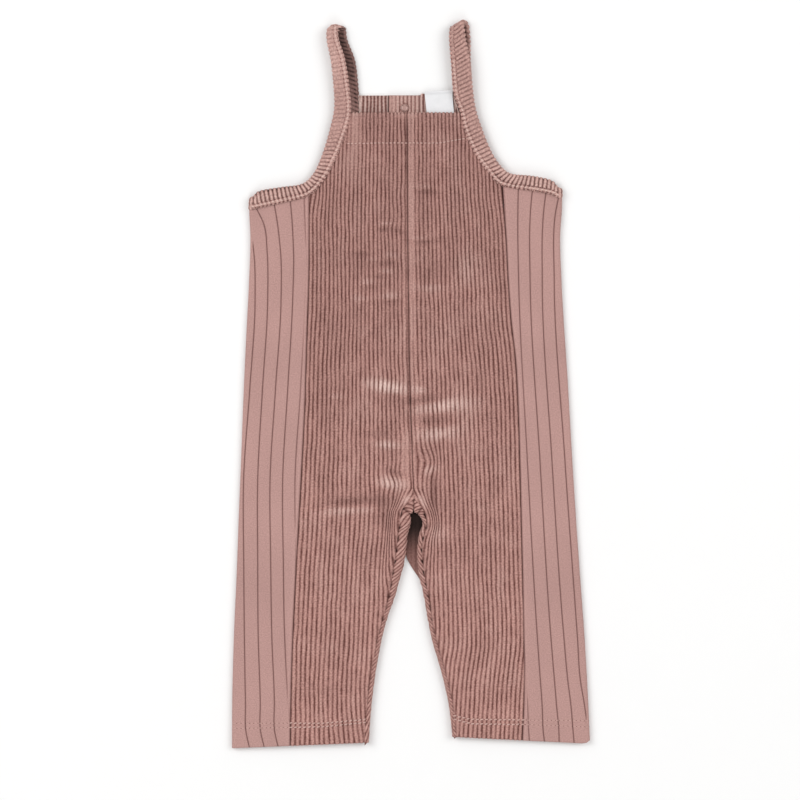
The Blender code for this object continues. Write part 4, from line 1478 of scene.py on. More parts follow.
@dataclass
class BackPanel:
    """One half of the back, with the strip that rolls up over the inside of its leg."""

    cut: Cut
    cut_width: float = 104.0
    cut_length: float = 519.0
    cut_area: float = 0.0425
    roll_steps: int = 16
    roll_slant: float = 0.85
    flap_station: int = 8

    def centre_x(self, y: Array) -> Array:
        """Where the two back panels meet: beside the opening, and below it at the centre.

        Args:
            y: Heights along the garment.

        Returns:
            The meeting line's place across.
        """
        below = curve(CENTRE, "x", y)
        share = np.clip((y - OPENING_JOG_Y) / (OPENING_END_Y - OPENING_JOG_Y), 0.0, 1.0)
        return below + (OPENING_X - below) * share

    def roll(self) -> tuple[Array, Array]:
        """The section round the inside of the leg at each of its stations.

        Returns:
            The points by station and step, and the way along each section.
        """
        legs = self.cut.legs
        edge, seam = legs[:, 0:2], legs[:, 2:4]
        reach = np.linalg.norm(seam - edge, axis=1)
        inward = (seam - edge) / reach[:, None]
        radius = curve(HEIGHTS, "inner", edge[:, 1]) / 2.0
        arc = np.linspace(0.0, math.pi, self.roll_steps // 2 + 1)
        flat = np.linspace(0.0, 1.0, self.roll_steps // 2 + 1)[1:]
        sections, ways = [], []
        for k in range(len(legs)):
            r, end = radius[k], max(reach[k] - SEAM_GAP / 2, radius[k] + 0.2)
            out = np.concatenate([r * (1 - np.sin(arc)), r + (end - r) * flat])
            z = np.concatenate([r * (1 - np.cos(arc)), np.full(len(flat), 2 * r)])
            plan = edge[k] + inward[k] * out[:, None]
            sections.append(np.column_stack([plan, z]))
            ways.append(np.concatenate([r * arc, r * math.pi + (end - r) * flat]))
        return np.array(sections), np.array(ways)

    def laid_part(self, feet: Array) -> ClothGrid:
        """The part that lies flat, from the back neck to the hem.

        Args:
            feet: Where the rolls round the inside of the leg start, in plan.

        Returns:
            Its grid, with a row for each foot at its end.
        """
        side = self.cut.side
        sign = side.value
        body = stations(BACK_NECK_Y, 1.0, 206.0, 3.0, 150.0, 4.0, -94.0)
        body = body[body > feet[0, 1] + 1.0]
        rows = np.concatenate([body, feet[:, 1]])
        outer = self.cut.outer_x(rows, back=True) - sign * SEAM_GAP
        outer = outer + sign * 0.4 * (rows > BACK_NECK_Y - NECK_HEM_DEPTH)
        centre = self.centre_x(body) + sign * SEAM_GAP / 2
        inner = np.concatenate([centre, feet[:, 0]])
        x, phase = self.cut.columns(rows, outer, inner, BACK_COLUMNS_PER_CORD, False)
        y = np.repeat(rows[:, None], x.shape[1], axis=1)
        from_outer, from_inner = np.abs(x - outer[:, None]), np.abs(x - inner[:, None])
        band = y > BACK_NECK_Y - NECK_HEM_DEPTH
        opened = (side is Side.RIGHT) * (y > OPENING_END_Y)
        phase = phase + np.interp(from_inner, TURNED_AT, TURNED_AHEAD) * opened
        tucked = band * hump(from_outer, 1.3)
        crest = 1.0 - (1.0 - ridge(phase)) * (1.0 - 0.9 * tucked)
        leg = (np.arange(len(rows)) >= len(body))[:, None]
        z = BACK_CORD_DEPTH * (1.0 - crest)
        z = z + 0.5 * hump(from_outer, 0.8) + np.where(leg, 0.0, 0.5) * hump(from_inner, 0.8)
        z = z + folds_at(BACK_FOLDS, x, y, "lift") * ease(np.minimum(from_outer, from_inner) / 6.0)
        # Painted shade along the outer edge below the neck band and along the centre edge; painted
        # highlights on the neck band's crests.
        tone = 0.08 * wander(43, x / 9.0, y / 14.0) - 0.7 * hump(from_outer, 0.7) * ~band
        tone = tone + band * (1.35 * crest + 0.2) + folds_at(BACK_FOLDS, x, y, "tone")
        tone = tone - np.where(leg, 0.0, 0.7) * hump(from_inner, 0.7)
        turned_in = ease((5.4 - from_inner) / 0.8) * opened
        rise = TURNED_RISE * ease((from_inner - 1.0) / 2.2) * ease((9.0 - from_inner) / 3.0)
        rise = rise * ease((y - 214.0) / 17.0) * opened
        points = np.stack([x, with_hem_tilt(side, x, y) + rise, z], axis=-1)
        hemmed = band | (y - HEM_Y < LEG_HEM_DEPTH)
        ply = np.where(hemmed, 1.0, CORD_PLY)
        ply = ply + band * (0.55 * (crest - 0.7) - 0.25 * hump(BACK_NECK_Y - y, 0.8))
        ply = ply + turned_in * (MOST_PLY - ply)
        # Painted highlight on the turned-in edge beside the opening.
        tone = tone + 0.35 * turned_in * hump(from_inner - 2.8, 1.5)
        ply = np.clip(ply, LEAST_PLY, MOST_PLY)
        return ClothGrid(points, phase, y, tone, ply, 1.0 - 0.85 * tucked)

    def rolled_part(self, laid: ClothGrid, sections: Array, ways: Array) -> ClothGrid:
        """The part that rolls over the inside of the leg, on from the part that lies flat.

        Args:
            laid: The part that lies flat.
            sections: The points of the roll by station and step.
            ways: The way along each section.

        Returns:
            Its grid, which shares an edge with the other.
        """
        side = self.cut.side
        feet = sections[:, 0, :2]
        foot_phase = laid.across[-len(feet) :, -1:]
        pitch = curve(CORDS[side], "pitch", feet[:, 1])[:, None]
        slanted = ease(ways / 4.0) * self.roll_slant * feet[:, 1:2] / pitch
        spun = foot_phase + ways / pitch + slanted
        number = np.arange(len(feet))[:, None]
        crease = hump(number, 1.0) + hump(number - self.flap_station, 1.1)
        crease = crease * ease(ways / 3.0)
        share = ease(ways / 2.5)
        crest = ridge(spun)
        depth = BACK_CORD_DEPTH + (ROLL_CORD_DEPTH - BACK_CORD_DEPTH) * share
        last = ways[:, -1:]
        pucker = puckered(feet[:, 1:2], last - ways) * share
        sunk = -depth * (1.0 - crest) - 0.5 * hump(last - ways, 0.9) * share - 0.8 * crease
        sunk = sunk - 0.5 * pucker
        points = displaced(sections, sunk, float(side.value))
        points[..., 1] = with_hem_tilt(side, points[..., 0], points[..., 1])
        points[:, 0] = laid.points[-len(feet) :, -1]
        # Painted shade along the inseam edge, in the puckers and in the creases near the crotch.
        tone = 0.1 * wander(47, spun, ways) - 0.35 * hump(last - ways, 0.8) * (1.2 - crest)
        tone = tone - pucker * (0.3 + 1.5 * hump(last - ways, 1.2))
        tone = tone - 1.0 * crease + 0.15 * share
        along = np.repeat(feet[:, 1:2], ways.shape[1], axis=1)
        ply = np.where(along - HEM_Y < LEG_HEM_DEPTH, 1.0, CORD_PLY)
        return ClothGrid(points, spun, along, tone, ply)

    def shadowed(self) -> ClothGrid:
        """A web that lies low in the top of the gap between the legs, painted dark as its shadow.

        Returns:
            Its grid, which narrows to a point on its way down.
        """
        edge = self.cut.legs[self.flap_station // 2 : WEB_END_STATION, 0:2]
        edge = np.vstack([edge[:1] + [0.0, WEB_LAP], edge])
        other = Cut(Side.LEFT).legs[::-1]
        x_far = np.interp(edge[:, 1], other[:, 1], other[:, 0]) - WEB_LAP
        x_near, y = edge[:, 0] + WEB_LAP, edge[:, 1]
        cut_back = ease((WEB_NARROWS_Y - y) / (WEB_NARROWS_Y - WEB_POINT_Y))
        x_far = x_far + (x_near - 0.1 - x_far) * cut_back
        share = np.linspace(0.0, 1.0, WEB_COLUMNS)[None, :]
        x = x_near[:, None] + (x_far - x_near)[:, None] * share
        y = np.repeat(y[:, None], WEB_COLUMNS, axis=1)
        # Painted shadow: near black at the top of the gap, less dark further down.
        tone = -1.38 + 0.58 * ease((-112.0 - y) / 38.0)
        points = np.stack([x, y, 0.7 - 0.3 * share + 0.0 * y], axis=-1)
        return ClothGrid(points, x / WEB_CORD_PITCH, y, tone, np.full_like(x, 0.25), 0.3)

    def build(self) -> Piece:
        """Make the panel, with the part of the model that it replaces.

        Returns:
            The finished panel.
        """
        tag = self.cut.side.tag
        finish = CordPile(f"back_{tag}_pile").make()
        flip = self.cut.side is Side.LEFT
        sections, ways = self.roll()
        laid = self.laid_part(sections[:, 0, :2])
        grids = [laid, self.rolled_part(laid, sections, ways)]
        if self.cut.side is Side.RIGHT:
            grids.append(self.shadowed())
        obj = sew(f"back_{tag}_cloth", grids, finish, CORD_HEM_WALL, flip)
        return Piece(obj, f"back_{tag}_corduroy", [f"back_panel_{tag}"])


@dataclass
class SidePanel:
    """One rib jersey side: from the back seam round the side fold to the front seam."""

    cut: Cut
    cut_width: float = 104.0
    cut_length: float = 442.0
    cut_area: float = 0.0420
    fold_steps: int = 10
    underarm_gap: float = 0.35

    def furrow_columns(self, y: float, start: float, end: float) -> Array:
        """Places across one layer, close together at its furrows and at its seam.

        Args:
            y: The row's height.
            start: The layer's edge at the fold.
            end: The layer's edge at the seam.

        Returns:
            The places, from the fold to the seam.
        """
        lines = [float(curve(FURROWS[self.cut.side], part, y)) for part in FURROW_COLUMNS]
        found = []
        for line in lines:
            found += [line + step for step in (-1.1, -0.55, -0.25, 0.0, 0.25, 0.55, 1.1)]
        found += [(a + b) / 2 for a, b in zip(lines, lines[1:])]
        found += [start + (end - start) * k / 6 for k in range(7)]
        towards = math.copysign(1.0, start - end)
        found += [end + towards * step for step in (0.35, 0.8, 1.3, 1.8, 2.6)]
        found = np.clip(np.sort(found), min(start, end), max(start, end))
        return found if end > start else found[::-1]

    def furrowed(self, x: Array, y: float) -> Array:
        """How deep in a furrow each place is, from 0 to 1.

        Args:
            x: Places across.
            y: Their height.

        Returns:
            The share of a furrow's depth.
        """
        depth = np.zeros(len(x))
        for part in FURROW_COLUMNS:
            line = float(curve(FURROWS[self.cut.side], part, y))
            depth = np.maximum(depth, hump(x - line, FURROW_WIDTH))
        return depth

    def section(self, y: float) -> tuple[Array, Array, Array, Array]:
        """One section of the panel, from the back seam round the side fold to the front seam.

        Args:
            y: The section's height along the garment.

        Returns:
            Each point's x, height, tone and way along the cloth.
        """
        sign = self.cut.side.value
        angles = np.linspace(0.0, math.pi, self.fold_steps + 1)[1:-1]
        fold, seam = float(self.cut.fold_x(y)), float(self.cut.seam_x(y))
        seam = seam + sign * SEAM_GAP / 2
        radius = float(curve(HEIGHTS, "fold", y)) / 2
        rise = float(curve(HEIGHTS, "seam", y)) - 0.5 - 2 * radius
        crest_x = fold - sign * radius
        upper = self.furrow_columns(y, crest_x, seam)
        way = np.abs(upper - crest_x) / abs(seam - crest_x)
        furrow = self.furrowed(upper, y)
        from_seam = np.abs(upper - seam)
        dropped = fold_over(np.full(1, y - HEM_Y), 1.1)
        z = 2 * radius + rise * ease(way) - FURROW_DEPTH * furrow
        z = z + 0.25 * hump(from_seam - 1.9, 0.6) - 0.45 * hump(from_seam, 0.6)
        z = z + 0.12 * wander(53, upper / 14.0, y / 20.0) + dropped
        # Painted highlight on the ridge beside the seam; painted shade in the seam and, on both
        # layers, in the furrows.
        tone = 0.30 * hump(from_seam - 1.9, 0.6) - 0.8 * hump(from_seam, 0.6)
        tone = tone - 0.95 * furrow * (1.0 - hump(from_seam, 3.6))
        lower = upper[::-1]
        lower_z = 0.35 * furrow[::-1] + 0.3 * hump(np.abs(lower - seam), 0.6)
        arc_x = fold - sign * radius * (1 - np.sin(angles))
        arc_z = radius * (1 - np.cos(angles))
        arc_z = arc_z + dropped * arc_z / (2 * radius)
        reach = np.abs(upper - crest_x)
        return (
            np.concatenate([lower, arc_x, upper]),
            np.concatenate([lower_z, arc_z, z]),
            np.concatenate([-0.9 * furrow[::-1], 0 * arc_x, tone]),
            np.concatenate([-reach[::-1], radius * angles, math.pi * radius + reach]),
        )

    def grid(self) -> ClothGrid:
        """The outer face, from the back seam to the front seam.

        Returns:
            Its grid, from the underarm to the hem.
        """
        side = self.cut.side
        sign = side.value
        ring = np.array(RINGS[side], float)
        edge = smooth_rows(ring[: SEAM_CORNER + 1, 2:4], 6)
        turn = UNDERARM_TURNS[side]
        tip = edge[0] + np.array([turn.seam_x, turn.seam_y])
        line_x = sign * np.concatenate([edge[::-1, 0], tip[:1]])
        line_y = np.concatenate([edge[::-1, 1], tip[1:]])
        top = tip[1]
        rows = stations(top, 1.2, top - 6.0, 2.5, -262.0, 1.5, -278.0, 2.0, -285.0, 0.5, HEM_Y)
        points, across, along, tones, plies = [], [], [], [], []
        for y in rows:
            x, z, tone, unrolled = self.section(y)
            follow = float(ease(1.0 - (top - y) / 30.0))
            edge_y = np.interp(sign * x, line_x, line_y)
            place_y = y + follow * (edge_y - top - self.underarm_gap)
            place_y = with_hem_tilt(side, x, place_y)
            if side is Side.RIGHT:
                low = float(ease(1.0 - (y - HEM_Y) / 8.0))
                place_y = place_y + low * 2.6 * hump(float(self.cut.fold_x(y)) - x, 2.4)
            points.append(np.stack([x, place_y, z], axis=1))
            across.append(unrolled)
            along.append(np.full(len(x), y))
            tones.append(tone)
            hemmed = y - HEM_Y < LEG_HEM_DEPTH
            plies.append(np.full(len(x), 1.0 if hemmed else KNIT_PLY))
        parts = (points, across, along, tones, plies)
        return ClothGrid(*(np.array(part) for part in parts))

    def build(self) -> Piece:
        """Make the panel, with the part of the model that it replaces.

        Returns:
            The finished panel.
        """
        tag = self.cut.side.tag
        finish = RibJersey(f"side_{tag}_jersey").make()
        flip = self.cut.side is Side.RIGHT
        obj = sew(f"side_{tag}_cloth", [self.grid()], finish, KNIT_HEM_WALL, flip)
        return Piece(obj, f"side_{tag}_rib_jersey", [f"side_panel_{tag}"])


@dataclass
class ArmholeStrip:
    """A folded strip that binds the armhole, and runs on as the shoulder strap."""

    cut: Cut
    cut_width: float = 24.0
    cut_length: float = 420.0
    steps_per_cord: int = 6
    band: float = 3.3
    smoothings: int = 3
    faces: Array = field(init=False)
    normals: Array = field(init=False)
    ways: Array = field(init=False)

    def __post_init__(self) -> None:
        """Work out the strip's outer face all round its ring."""
        side = self.cut.side
        rows = np.array(RINGS[side], float)
        front = smooth_rows(rows[:, :5], 6)
        aside = rows.copy()
        aside[:, 0] += rows[:, 5]
        aside[:, 2] += rows[:, 5]
        aside[:, 4] = 0.0
        back = smooth_rows(aside[:, :5], 6)[::-1]
        ring = [*front, *self.turned(front[-1], back[0], STRAP_TURNS[side]), *back]
        ring += self.turned(back[-1], front[0], UNDERARM_TURNS[side])
        ring = np.array(ring + [ring[0]])
        middle = np.column_stack([(ring[:, 0:2] + ring[:, 2:4]) / 2, ring[:, 4]])
        way = np.concatenate([[0.0], np.cumsum(np.linalg.norm(np.diff(middle, axis=0), axis=1))])
        cords = round(way[-1] / BINDING_CORD_PITCH)
        marks = np.linspace(0.0, way[-1], cords * self.steps_per_cord + 1)[:-1]
        faces = np.stack([np.interp(marks, way, column) for column in ring.T], axis=1)
        for _ in range(self.smoothings):
            faces = (np.roll(faces, 1, axis=0) + 2 * faces + np.roll(faces, -1, axis=0)) / 4
        self.faces, self.ways = faces, marks / way[-1] * cords
        centre = np.column_stack([(faces[:, 0:2] + faces[:, 2:4]) / 2, faces[:, 4]])
        tangent = np.roll(centre, -1, axis=0) - np.roll(centre, 1, axis=0)
        over = np.column_stack([faces[:, 2:4] - faces[:, 0:2], 0 * faces[:, 4]])
        normal = np.cross(over, tangent) * -side.value
        self.normals = normal / np.linalg.norm(normal, axis=1, keepdims=True)

    @staticmethod
    def turned(start: Array, end: Array, turn: TurnRow) -> list[Array]:
        """Rows between two runs, where the strip turns over.

        Args:
            start: The last row of one run.
            end: The first row of the next.
            turn: How far the strip swings out.

        Returns:
            The rows between.
        """
        swing = np.array([*turn, 0.0])
        angles = np.pi * np.arange(1, 12) / 12
        return [
            start + (end - start) * (1 - math.cos(a)) / 2 + swing * math.sin(a) for a in angles
        ]

    def section(self, width: float) -> tuple[Array, Array, Array]:
        """One section of the folded strip, from its inner seamed edge round to its outer one.

        Args:
            width: From the free edge to the seamed edge.

        Returns:
            Each point's way across from the free edge, its depth under the outer face, and
            1 on the outer side, 0 at the edges, -1 on the inner side.
        """
        free, seam, wall = BINDING_EDGE_RADIUS, BINDING_SEAM_RADIUS, BINDING_WALL
        groove = width - self.band
        low = np.concatenate([[width - 0.2], np.linspace(width - 0.8, free, 6)[:-1]])
        turn = np.radians(np.linspace(-90, 90, 9))
        face = free + (groove - 0.7 - free) * np.array([0.18, 0.4, 0.62, 0.82, 1.0])
        rib = groove + np.array([-0.32, 0.0, 0.32])
        band = groove + (self.band - seam) * np.array([0.35, 0.68, 1.0])
        end = np.radians([60.0, 30.0, 0.0])
        across = [low, free - free * np.cos(turn), face, rib, band]
        across.append(width - seam + seam * np.cos(end))
        top = np.zeros(len(face) + len(rib) + len(band))
        depth = [np.full(len(low), wall), wall / 2 * (1 - np.sin(turn)), top]
        depth.append(seam - seam * np.sin(end))
        facing = [np.full(len(low), -1.0), np.sin(turn), top + 1.0, np.sin(end)]
        return np.concatenate(across), np.concatenate(depth), np.concatenate(facing)

    def grid(self) -> ClothGrid:
        """The whole of the folded strip, closed round its ring.

        Returns:
            Its grid.
        """
        side = self.cut.side
        look = STRIP_LOOKS[side]
        points, across, along, tones, naps = [], [], [], [], []
        for row, normal, way in zip(self.faces, self.normals, self.ways):
            free = np.array([row[0], row[1], row[4]])
            seam = np.array([row[2], row[3], row[4]])
            width = float(np.linalg.norm(seam - free))
            over = (seam - free) / width
            a, b, facing = self.section(width)
            high = float(ease((free[1] - 170.0) / 40.0))
            strong = 1.0 - (1.0 - look.faint) * high
            strong = strong * (1.0 + 0.25 * wander(59, way, 0.0))
            under = 1.0 - float(ease((free[1] - 168.0) / 16.0))
            slant = look.slant * float(ease((free[1] - 160.0) / 25.0))
            slant += look.slant_at_top * float(ease((free[1] - 215.0) / 60.0))
            phase = way + slant * (a - width / 2) / BINDING_CORD_PITCH
            from_groove = a - (width - self.band)
            in_band = ease(from_groove / 0.6)
            crest = ridge(phase)
            keep = strong * (1.0 - look.band_faint * in_band)
            depth = BINDING_CORD_DEPTH * (1.0 + 0.35 * under) * keep * (1.0 - crest)
            groove = hump(from_groove, 0.34) * (facing > 0.5)
            inset = depth + 0.5 * groove + 0.15 * in_band * (facing > 0.5)
            scallop = 1.0 + 0.5 * high * (side is Side.RIGHT)
            tip = (1.15 * hump(a, 1.7) - 0.95 * hump(width - a, 1.2)) * (1.0 - crest) * scallop
            place = free + over * (a + tip)[:, None]
            place = place - normal * (b + inset * np.sign(facing + 1e-6))[:, None]
            # Painted shade on the strip's inner face under the front run: deepest at the top of
            # the strap, less where the face is lit, and fading to a lit rim at its edges.
            from_edge = np.minimum(a, width - a)
            edge_facing = 0.9 if side is Side.LEFT and high > 0.5 else -0.2
            inner = 1.0 * ((facing < edge_facing) & (normal[2] < 0.2))
            rim = 0.6 * high * (side is Side.LEFT)
            top_end = float(ease((free[1] - 226.0) / 30.0))
            shade = 1.0 + 0.12 * top_end + 0.25 - 0.5 * crest * (1.0 - 0.7 * top_end)
            lit = (1.0 - top_end) * ease((width - 3.4 - a) / 2.4)
            if side is Side.RIGHT:
                shade = shade * (0.35 + 0.65 * ease((a - 1.3) / 2.4))
            fade = rim + (1.0 - rim) * ease((from_edge - 0.25) / 0.7)
            tone = -inner * shade * (1.0 - 0.7 * lit) * fade - 0.08 * under
            # Under the arm: painted highlights on the crests and painted shade in the grooves.
            contrast = 0.5 * crest**5 - 1.35 * (1.0 - crest) ** 0.55
            tone = tone + under * contrast * (1.0 - 0.7 * in_band)
            # Painted shade in the groove beside the seamed band; the strap darker by its dimmed
            # share.
            tone = tone - 0.9 * groove - high * look.dimmed * (1.0 - look.dim_end * top_end)
            # Painted shadow between the cords' ends under the arm.
            tips = look.tip_shadow * (normal[2] > 0.2) * hump(a, 1.2) * (1.3 - crest)
            tone = tone - tips * float(abs(free[0]) > 86.0) + 0.12 * crest
            tone = tone + 0.10 * wander(61, way / 2.0, a / 3.0)
            points.append(place)
            across.append(phase)
            along.append(a)
            tones.append(tone)
            naps.append(np.clip(keep, 0.0, 1.0))
        parts = (points, across, along, tones, np.ones(np.shape(along)), naps)
        return ClothGrid(*(np.array(part) for part in parts), ring=True)

    def edge_line(self, from_seam: float) -> Array:
        """The line on the outer face of the front run at this distance from its seamed edge.

        Args:
            from_seam: The distance.

        Returns:
            The line's points in plan.
        """
        rows = self.faces[: int(len(self.faces) * 0.47)]
        rows = rows[rows[:, 4] > 5.0]
        over = rows[:, 0:2] - rows[:, 2:4]
        over = over / np.linalg.norm(over, axis=1, keepdims=True)
        return rows[:, 2:4] + over * from_seam

    def build(self) -> Piece:
        """Make the strip, with the part of the model that it replaces.

        Returns:
            The finished strip.
        """
        tag = self.cut.side.tag
        # The strip's grooves are darker still: the cloth's own base, deepened with painted shade.
        finish = CordPile(
            f"strip_{tag}_pile", (0.50, 0.30, 0.265), (0.07, 0.024, 0.02), sharpness=1.7
        ).make()
        flip = self.cut.side is Side.RIGHT
        obj = sew(f"armhole_{tag}_cloth", [self.grid()], finish, STRIP_WALL, flip)
        return Piece(obj, f"strip_{tag}_corduroy", [f"armhole_strip_{tag}"])


@dataclass
class NeckParts:
    """What lies inside the back neck: the placket, the label and the snap."""

    placket_pitch: float = 3.1

    def placket(self) -> Piece:
        """The strip that laps over the back opening.

        Returns:
            The finished placket.
        """
        rows = stations(BACK_NECK_Y, 0.4, 229.6, 1.2, 205.0, 4.0, PLACKET_END_Y)
        columns = stations(PLACKET_LEFT, 0.3, -17.2, 0.5, PLACKET_RIGHT)
        x, y = np.meshgrid(columns, rows)
        under = np.interp(y, [190.2, 198.2], [1.5, 2.4])
        phase = (x - PLACKET_LEFT) / self.placket_pitch
        calm = 1.0 - 0.85 * hump(x + 14.9, 3.4)
        z = under + 0.5 + PLACKET_WALL - 0.45 * calm * (1.0 - ridge(phase))
        z = z + fold_over(BACK_NECK_Y - y, 0.8) + fold_over(x - PLACKET_LEFT, 0.7)
        z = z + fold_over(PLACKET_RIGHT - x, 0.9)
        from_snap = np.hypot(x - SNAP_X, y - SNAP_Y)
        z = z - 0.45 * hump(from_snap - SNAP_RADIUS, 0.9)
        from_left = x - PLACKET_LEFT
        # Painted shade along the left edge and round the snap; painted highlight along the right
        # edge, and lighter crests.
        tone = 0.05 * wander(67, x / 3, y / 5) - 1.7 * hump(from_left, 1.0)
        tone = tone - 0.75 * hump(from_snap - SNAP_RADIUS - 0.3, 0.4) + 0.16
        tone = tone + 0.3 * ridge(phase) * calm + 0.3 * hump(PLACKET_RIGHT - x, 1.5)
        points = np.stack([x, y, z], axis=-1)
        grid = ClothGrid(points, phase, y, tone, np.ones_like(x), 0.25 + 0.6 * calm)
        finish = CordPile("placket_pile").make()
        obj = sew("placket_cloth", [grid], finish, PLACKET_WALL)
        return Piece(obj, "placket_corduroy", ["back_placket"])

    def label(self) -> Piece:
        """The bare satin label, sewn in along its top.

        Returns:
            The finished label.
        """
        top_left, top_right, low_right, low_left = (np.array(c) for c in LABEL_CORNERS)
        u, v = np.meshgrid(stations(0.0, 0.04, 1.0), stations(0.0, 0.04, 1.0))
        top = top_left + (top_right - top_left) * u[..., None]
        low = low_left + (low_right - low_left) * u[..., None]
        plan = top + (low - top) * v[..., None]
        z = LABEL_Z + LABEL_WALL + 0.45 * np.sin(np.pi * u) * v
        z = z + 0.25 * hump(u - 1.0, 0.08) * v + 0.12 * wander(71, u * 5, v * 4)
        z = z - 0.3 * hump(v - 0.07, 0.03)
        points = np.concatenate([plan, z[..., None]], axis=-1)
        # Painted shade along the crease where the label is sewn in.
        tone = -0.25 * hump(v - 0.07, 0.03)
        grid = ClothGrid(points, u * 22.0, v * 24.0, tone, np.ones_like(u))
        obj = sew("label_tape", [grid], SatinTape("label_weave").make(), LABEL_WALL)
        return Piece(obj, "label_satin", ["neck_label"])

    def snap(self) -> Piece:
        """The snap's ring half: a rolled ring round a shallow cap.

        Returns:
            The finished ring half.
        """
        bpy.ops.object.select_all(action="DESELECT")
        place = (SNAP_X * MM, SNAP_Y * MM, SNAP_TOP * MM)
        bpy.ops.mesh.primitive_torus_add(
            major_segments=SNAP_SIDES,
            minor_segments=12,
            major_radius=(SNAP_RADIUS - SNAP_RING_RADIUS) * MM,
            minor_radius=SNAP_RING_RADIUS * MM,
            location=place,
        )
        ring = bpy.context.object
        bpy.ops.mesh.primitive_cylinder_add(
            vertices=SNAP_SIDES,
            radius=SNAP_CAP_RADIUS * MM,
            depth=SNAP_CAP_WALL * MM,
            location=place,
        )
        cap = bpy.context.object
        bpy.ops.object.mode_set(mode="EDIT")
        bpy.ops.mesh.select_all(action="DESELECT")
        bpy.ops.object.mode_set(mode="OBJECT")
        for face in cap.data.polygons:
            face.select = face.normal.z > 0.9
        bpy.ops.object.mode_set(mode="EDIT")
        for inset, step in SNAP_STEPS:
            bpy.ops.mesh.inset(thickness=inset * MM, depth=0.0)
            bpy.ops.transform.translate(value=(0.0, 0.0, step * MM))
        bpy.ops.object.mode_set(mode="OBJECT")
        select_only(ring, cap)
        bpy.ops.object.join()
        ring.name = ring.data.name = "snap_ring"
        ring.data.transform(ring.matrix_world)
        ring.matrix_world = Matrix.Identity(4)
        bpy.ops.object.shade_smooth_by_angle(angle=SNAP_SHARP_ANGLE)
        ring.data.materials.append(SnapEnamel("snap_enamel").make())
        return Piece(ring, "snap_metal", ["snap_ring_half"])

    def stud(self) -> None:
        """Give the stud half, whose shape is right, its enamel."""
        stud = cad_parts["snap_stud_half"]
        enamel = SnapEnamel("stud_enamel").make()
        for slot in stud.material_slots:
            slot.material = enamel


@dataclass(frozen=True)
class Stitch:
    """A kind of stitch, in millimetres.

    Size is its length, width and height, and skew how far it turns out of its row, in
    radians. Pits are the distances aside from the row at which needle pits lie, each drawn as
    a dark bead of painted shade, and sink is how far the thread is pulled into the cloth.
    """

    pitch: float
    size: tuple[float, float, float]
    skew: float = 0.0
    pits: tuple[float, ...] = (0.0,)
    pit_size: float = 0.75
    sink: float = 0.0


HEM_STITCH = Stitch(3.7, (3.1, 1.15, 0.9), skew=0.3, pit_size=0.9)
KNIT_STITCH = Stitch(3.3, (2.4, 0.75, 0.4), pit_size=0.8, sink=0.06)
NECK_STITCH = Stitch(3.1, (2.4, 0.95, 0.8), pit_size=0.7)

# A row with fewer points than this gets no stitches.
FEWEST_POINTS = 4
# The cloth is felt so far ahead of a stitch and behind it, from this height in metres.
FELT_AHEAD, FELT_FROM = 0.8, 0.03


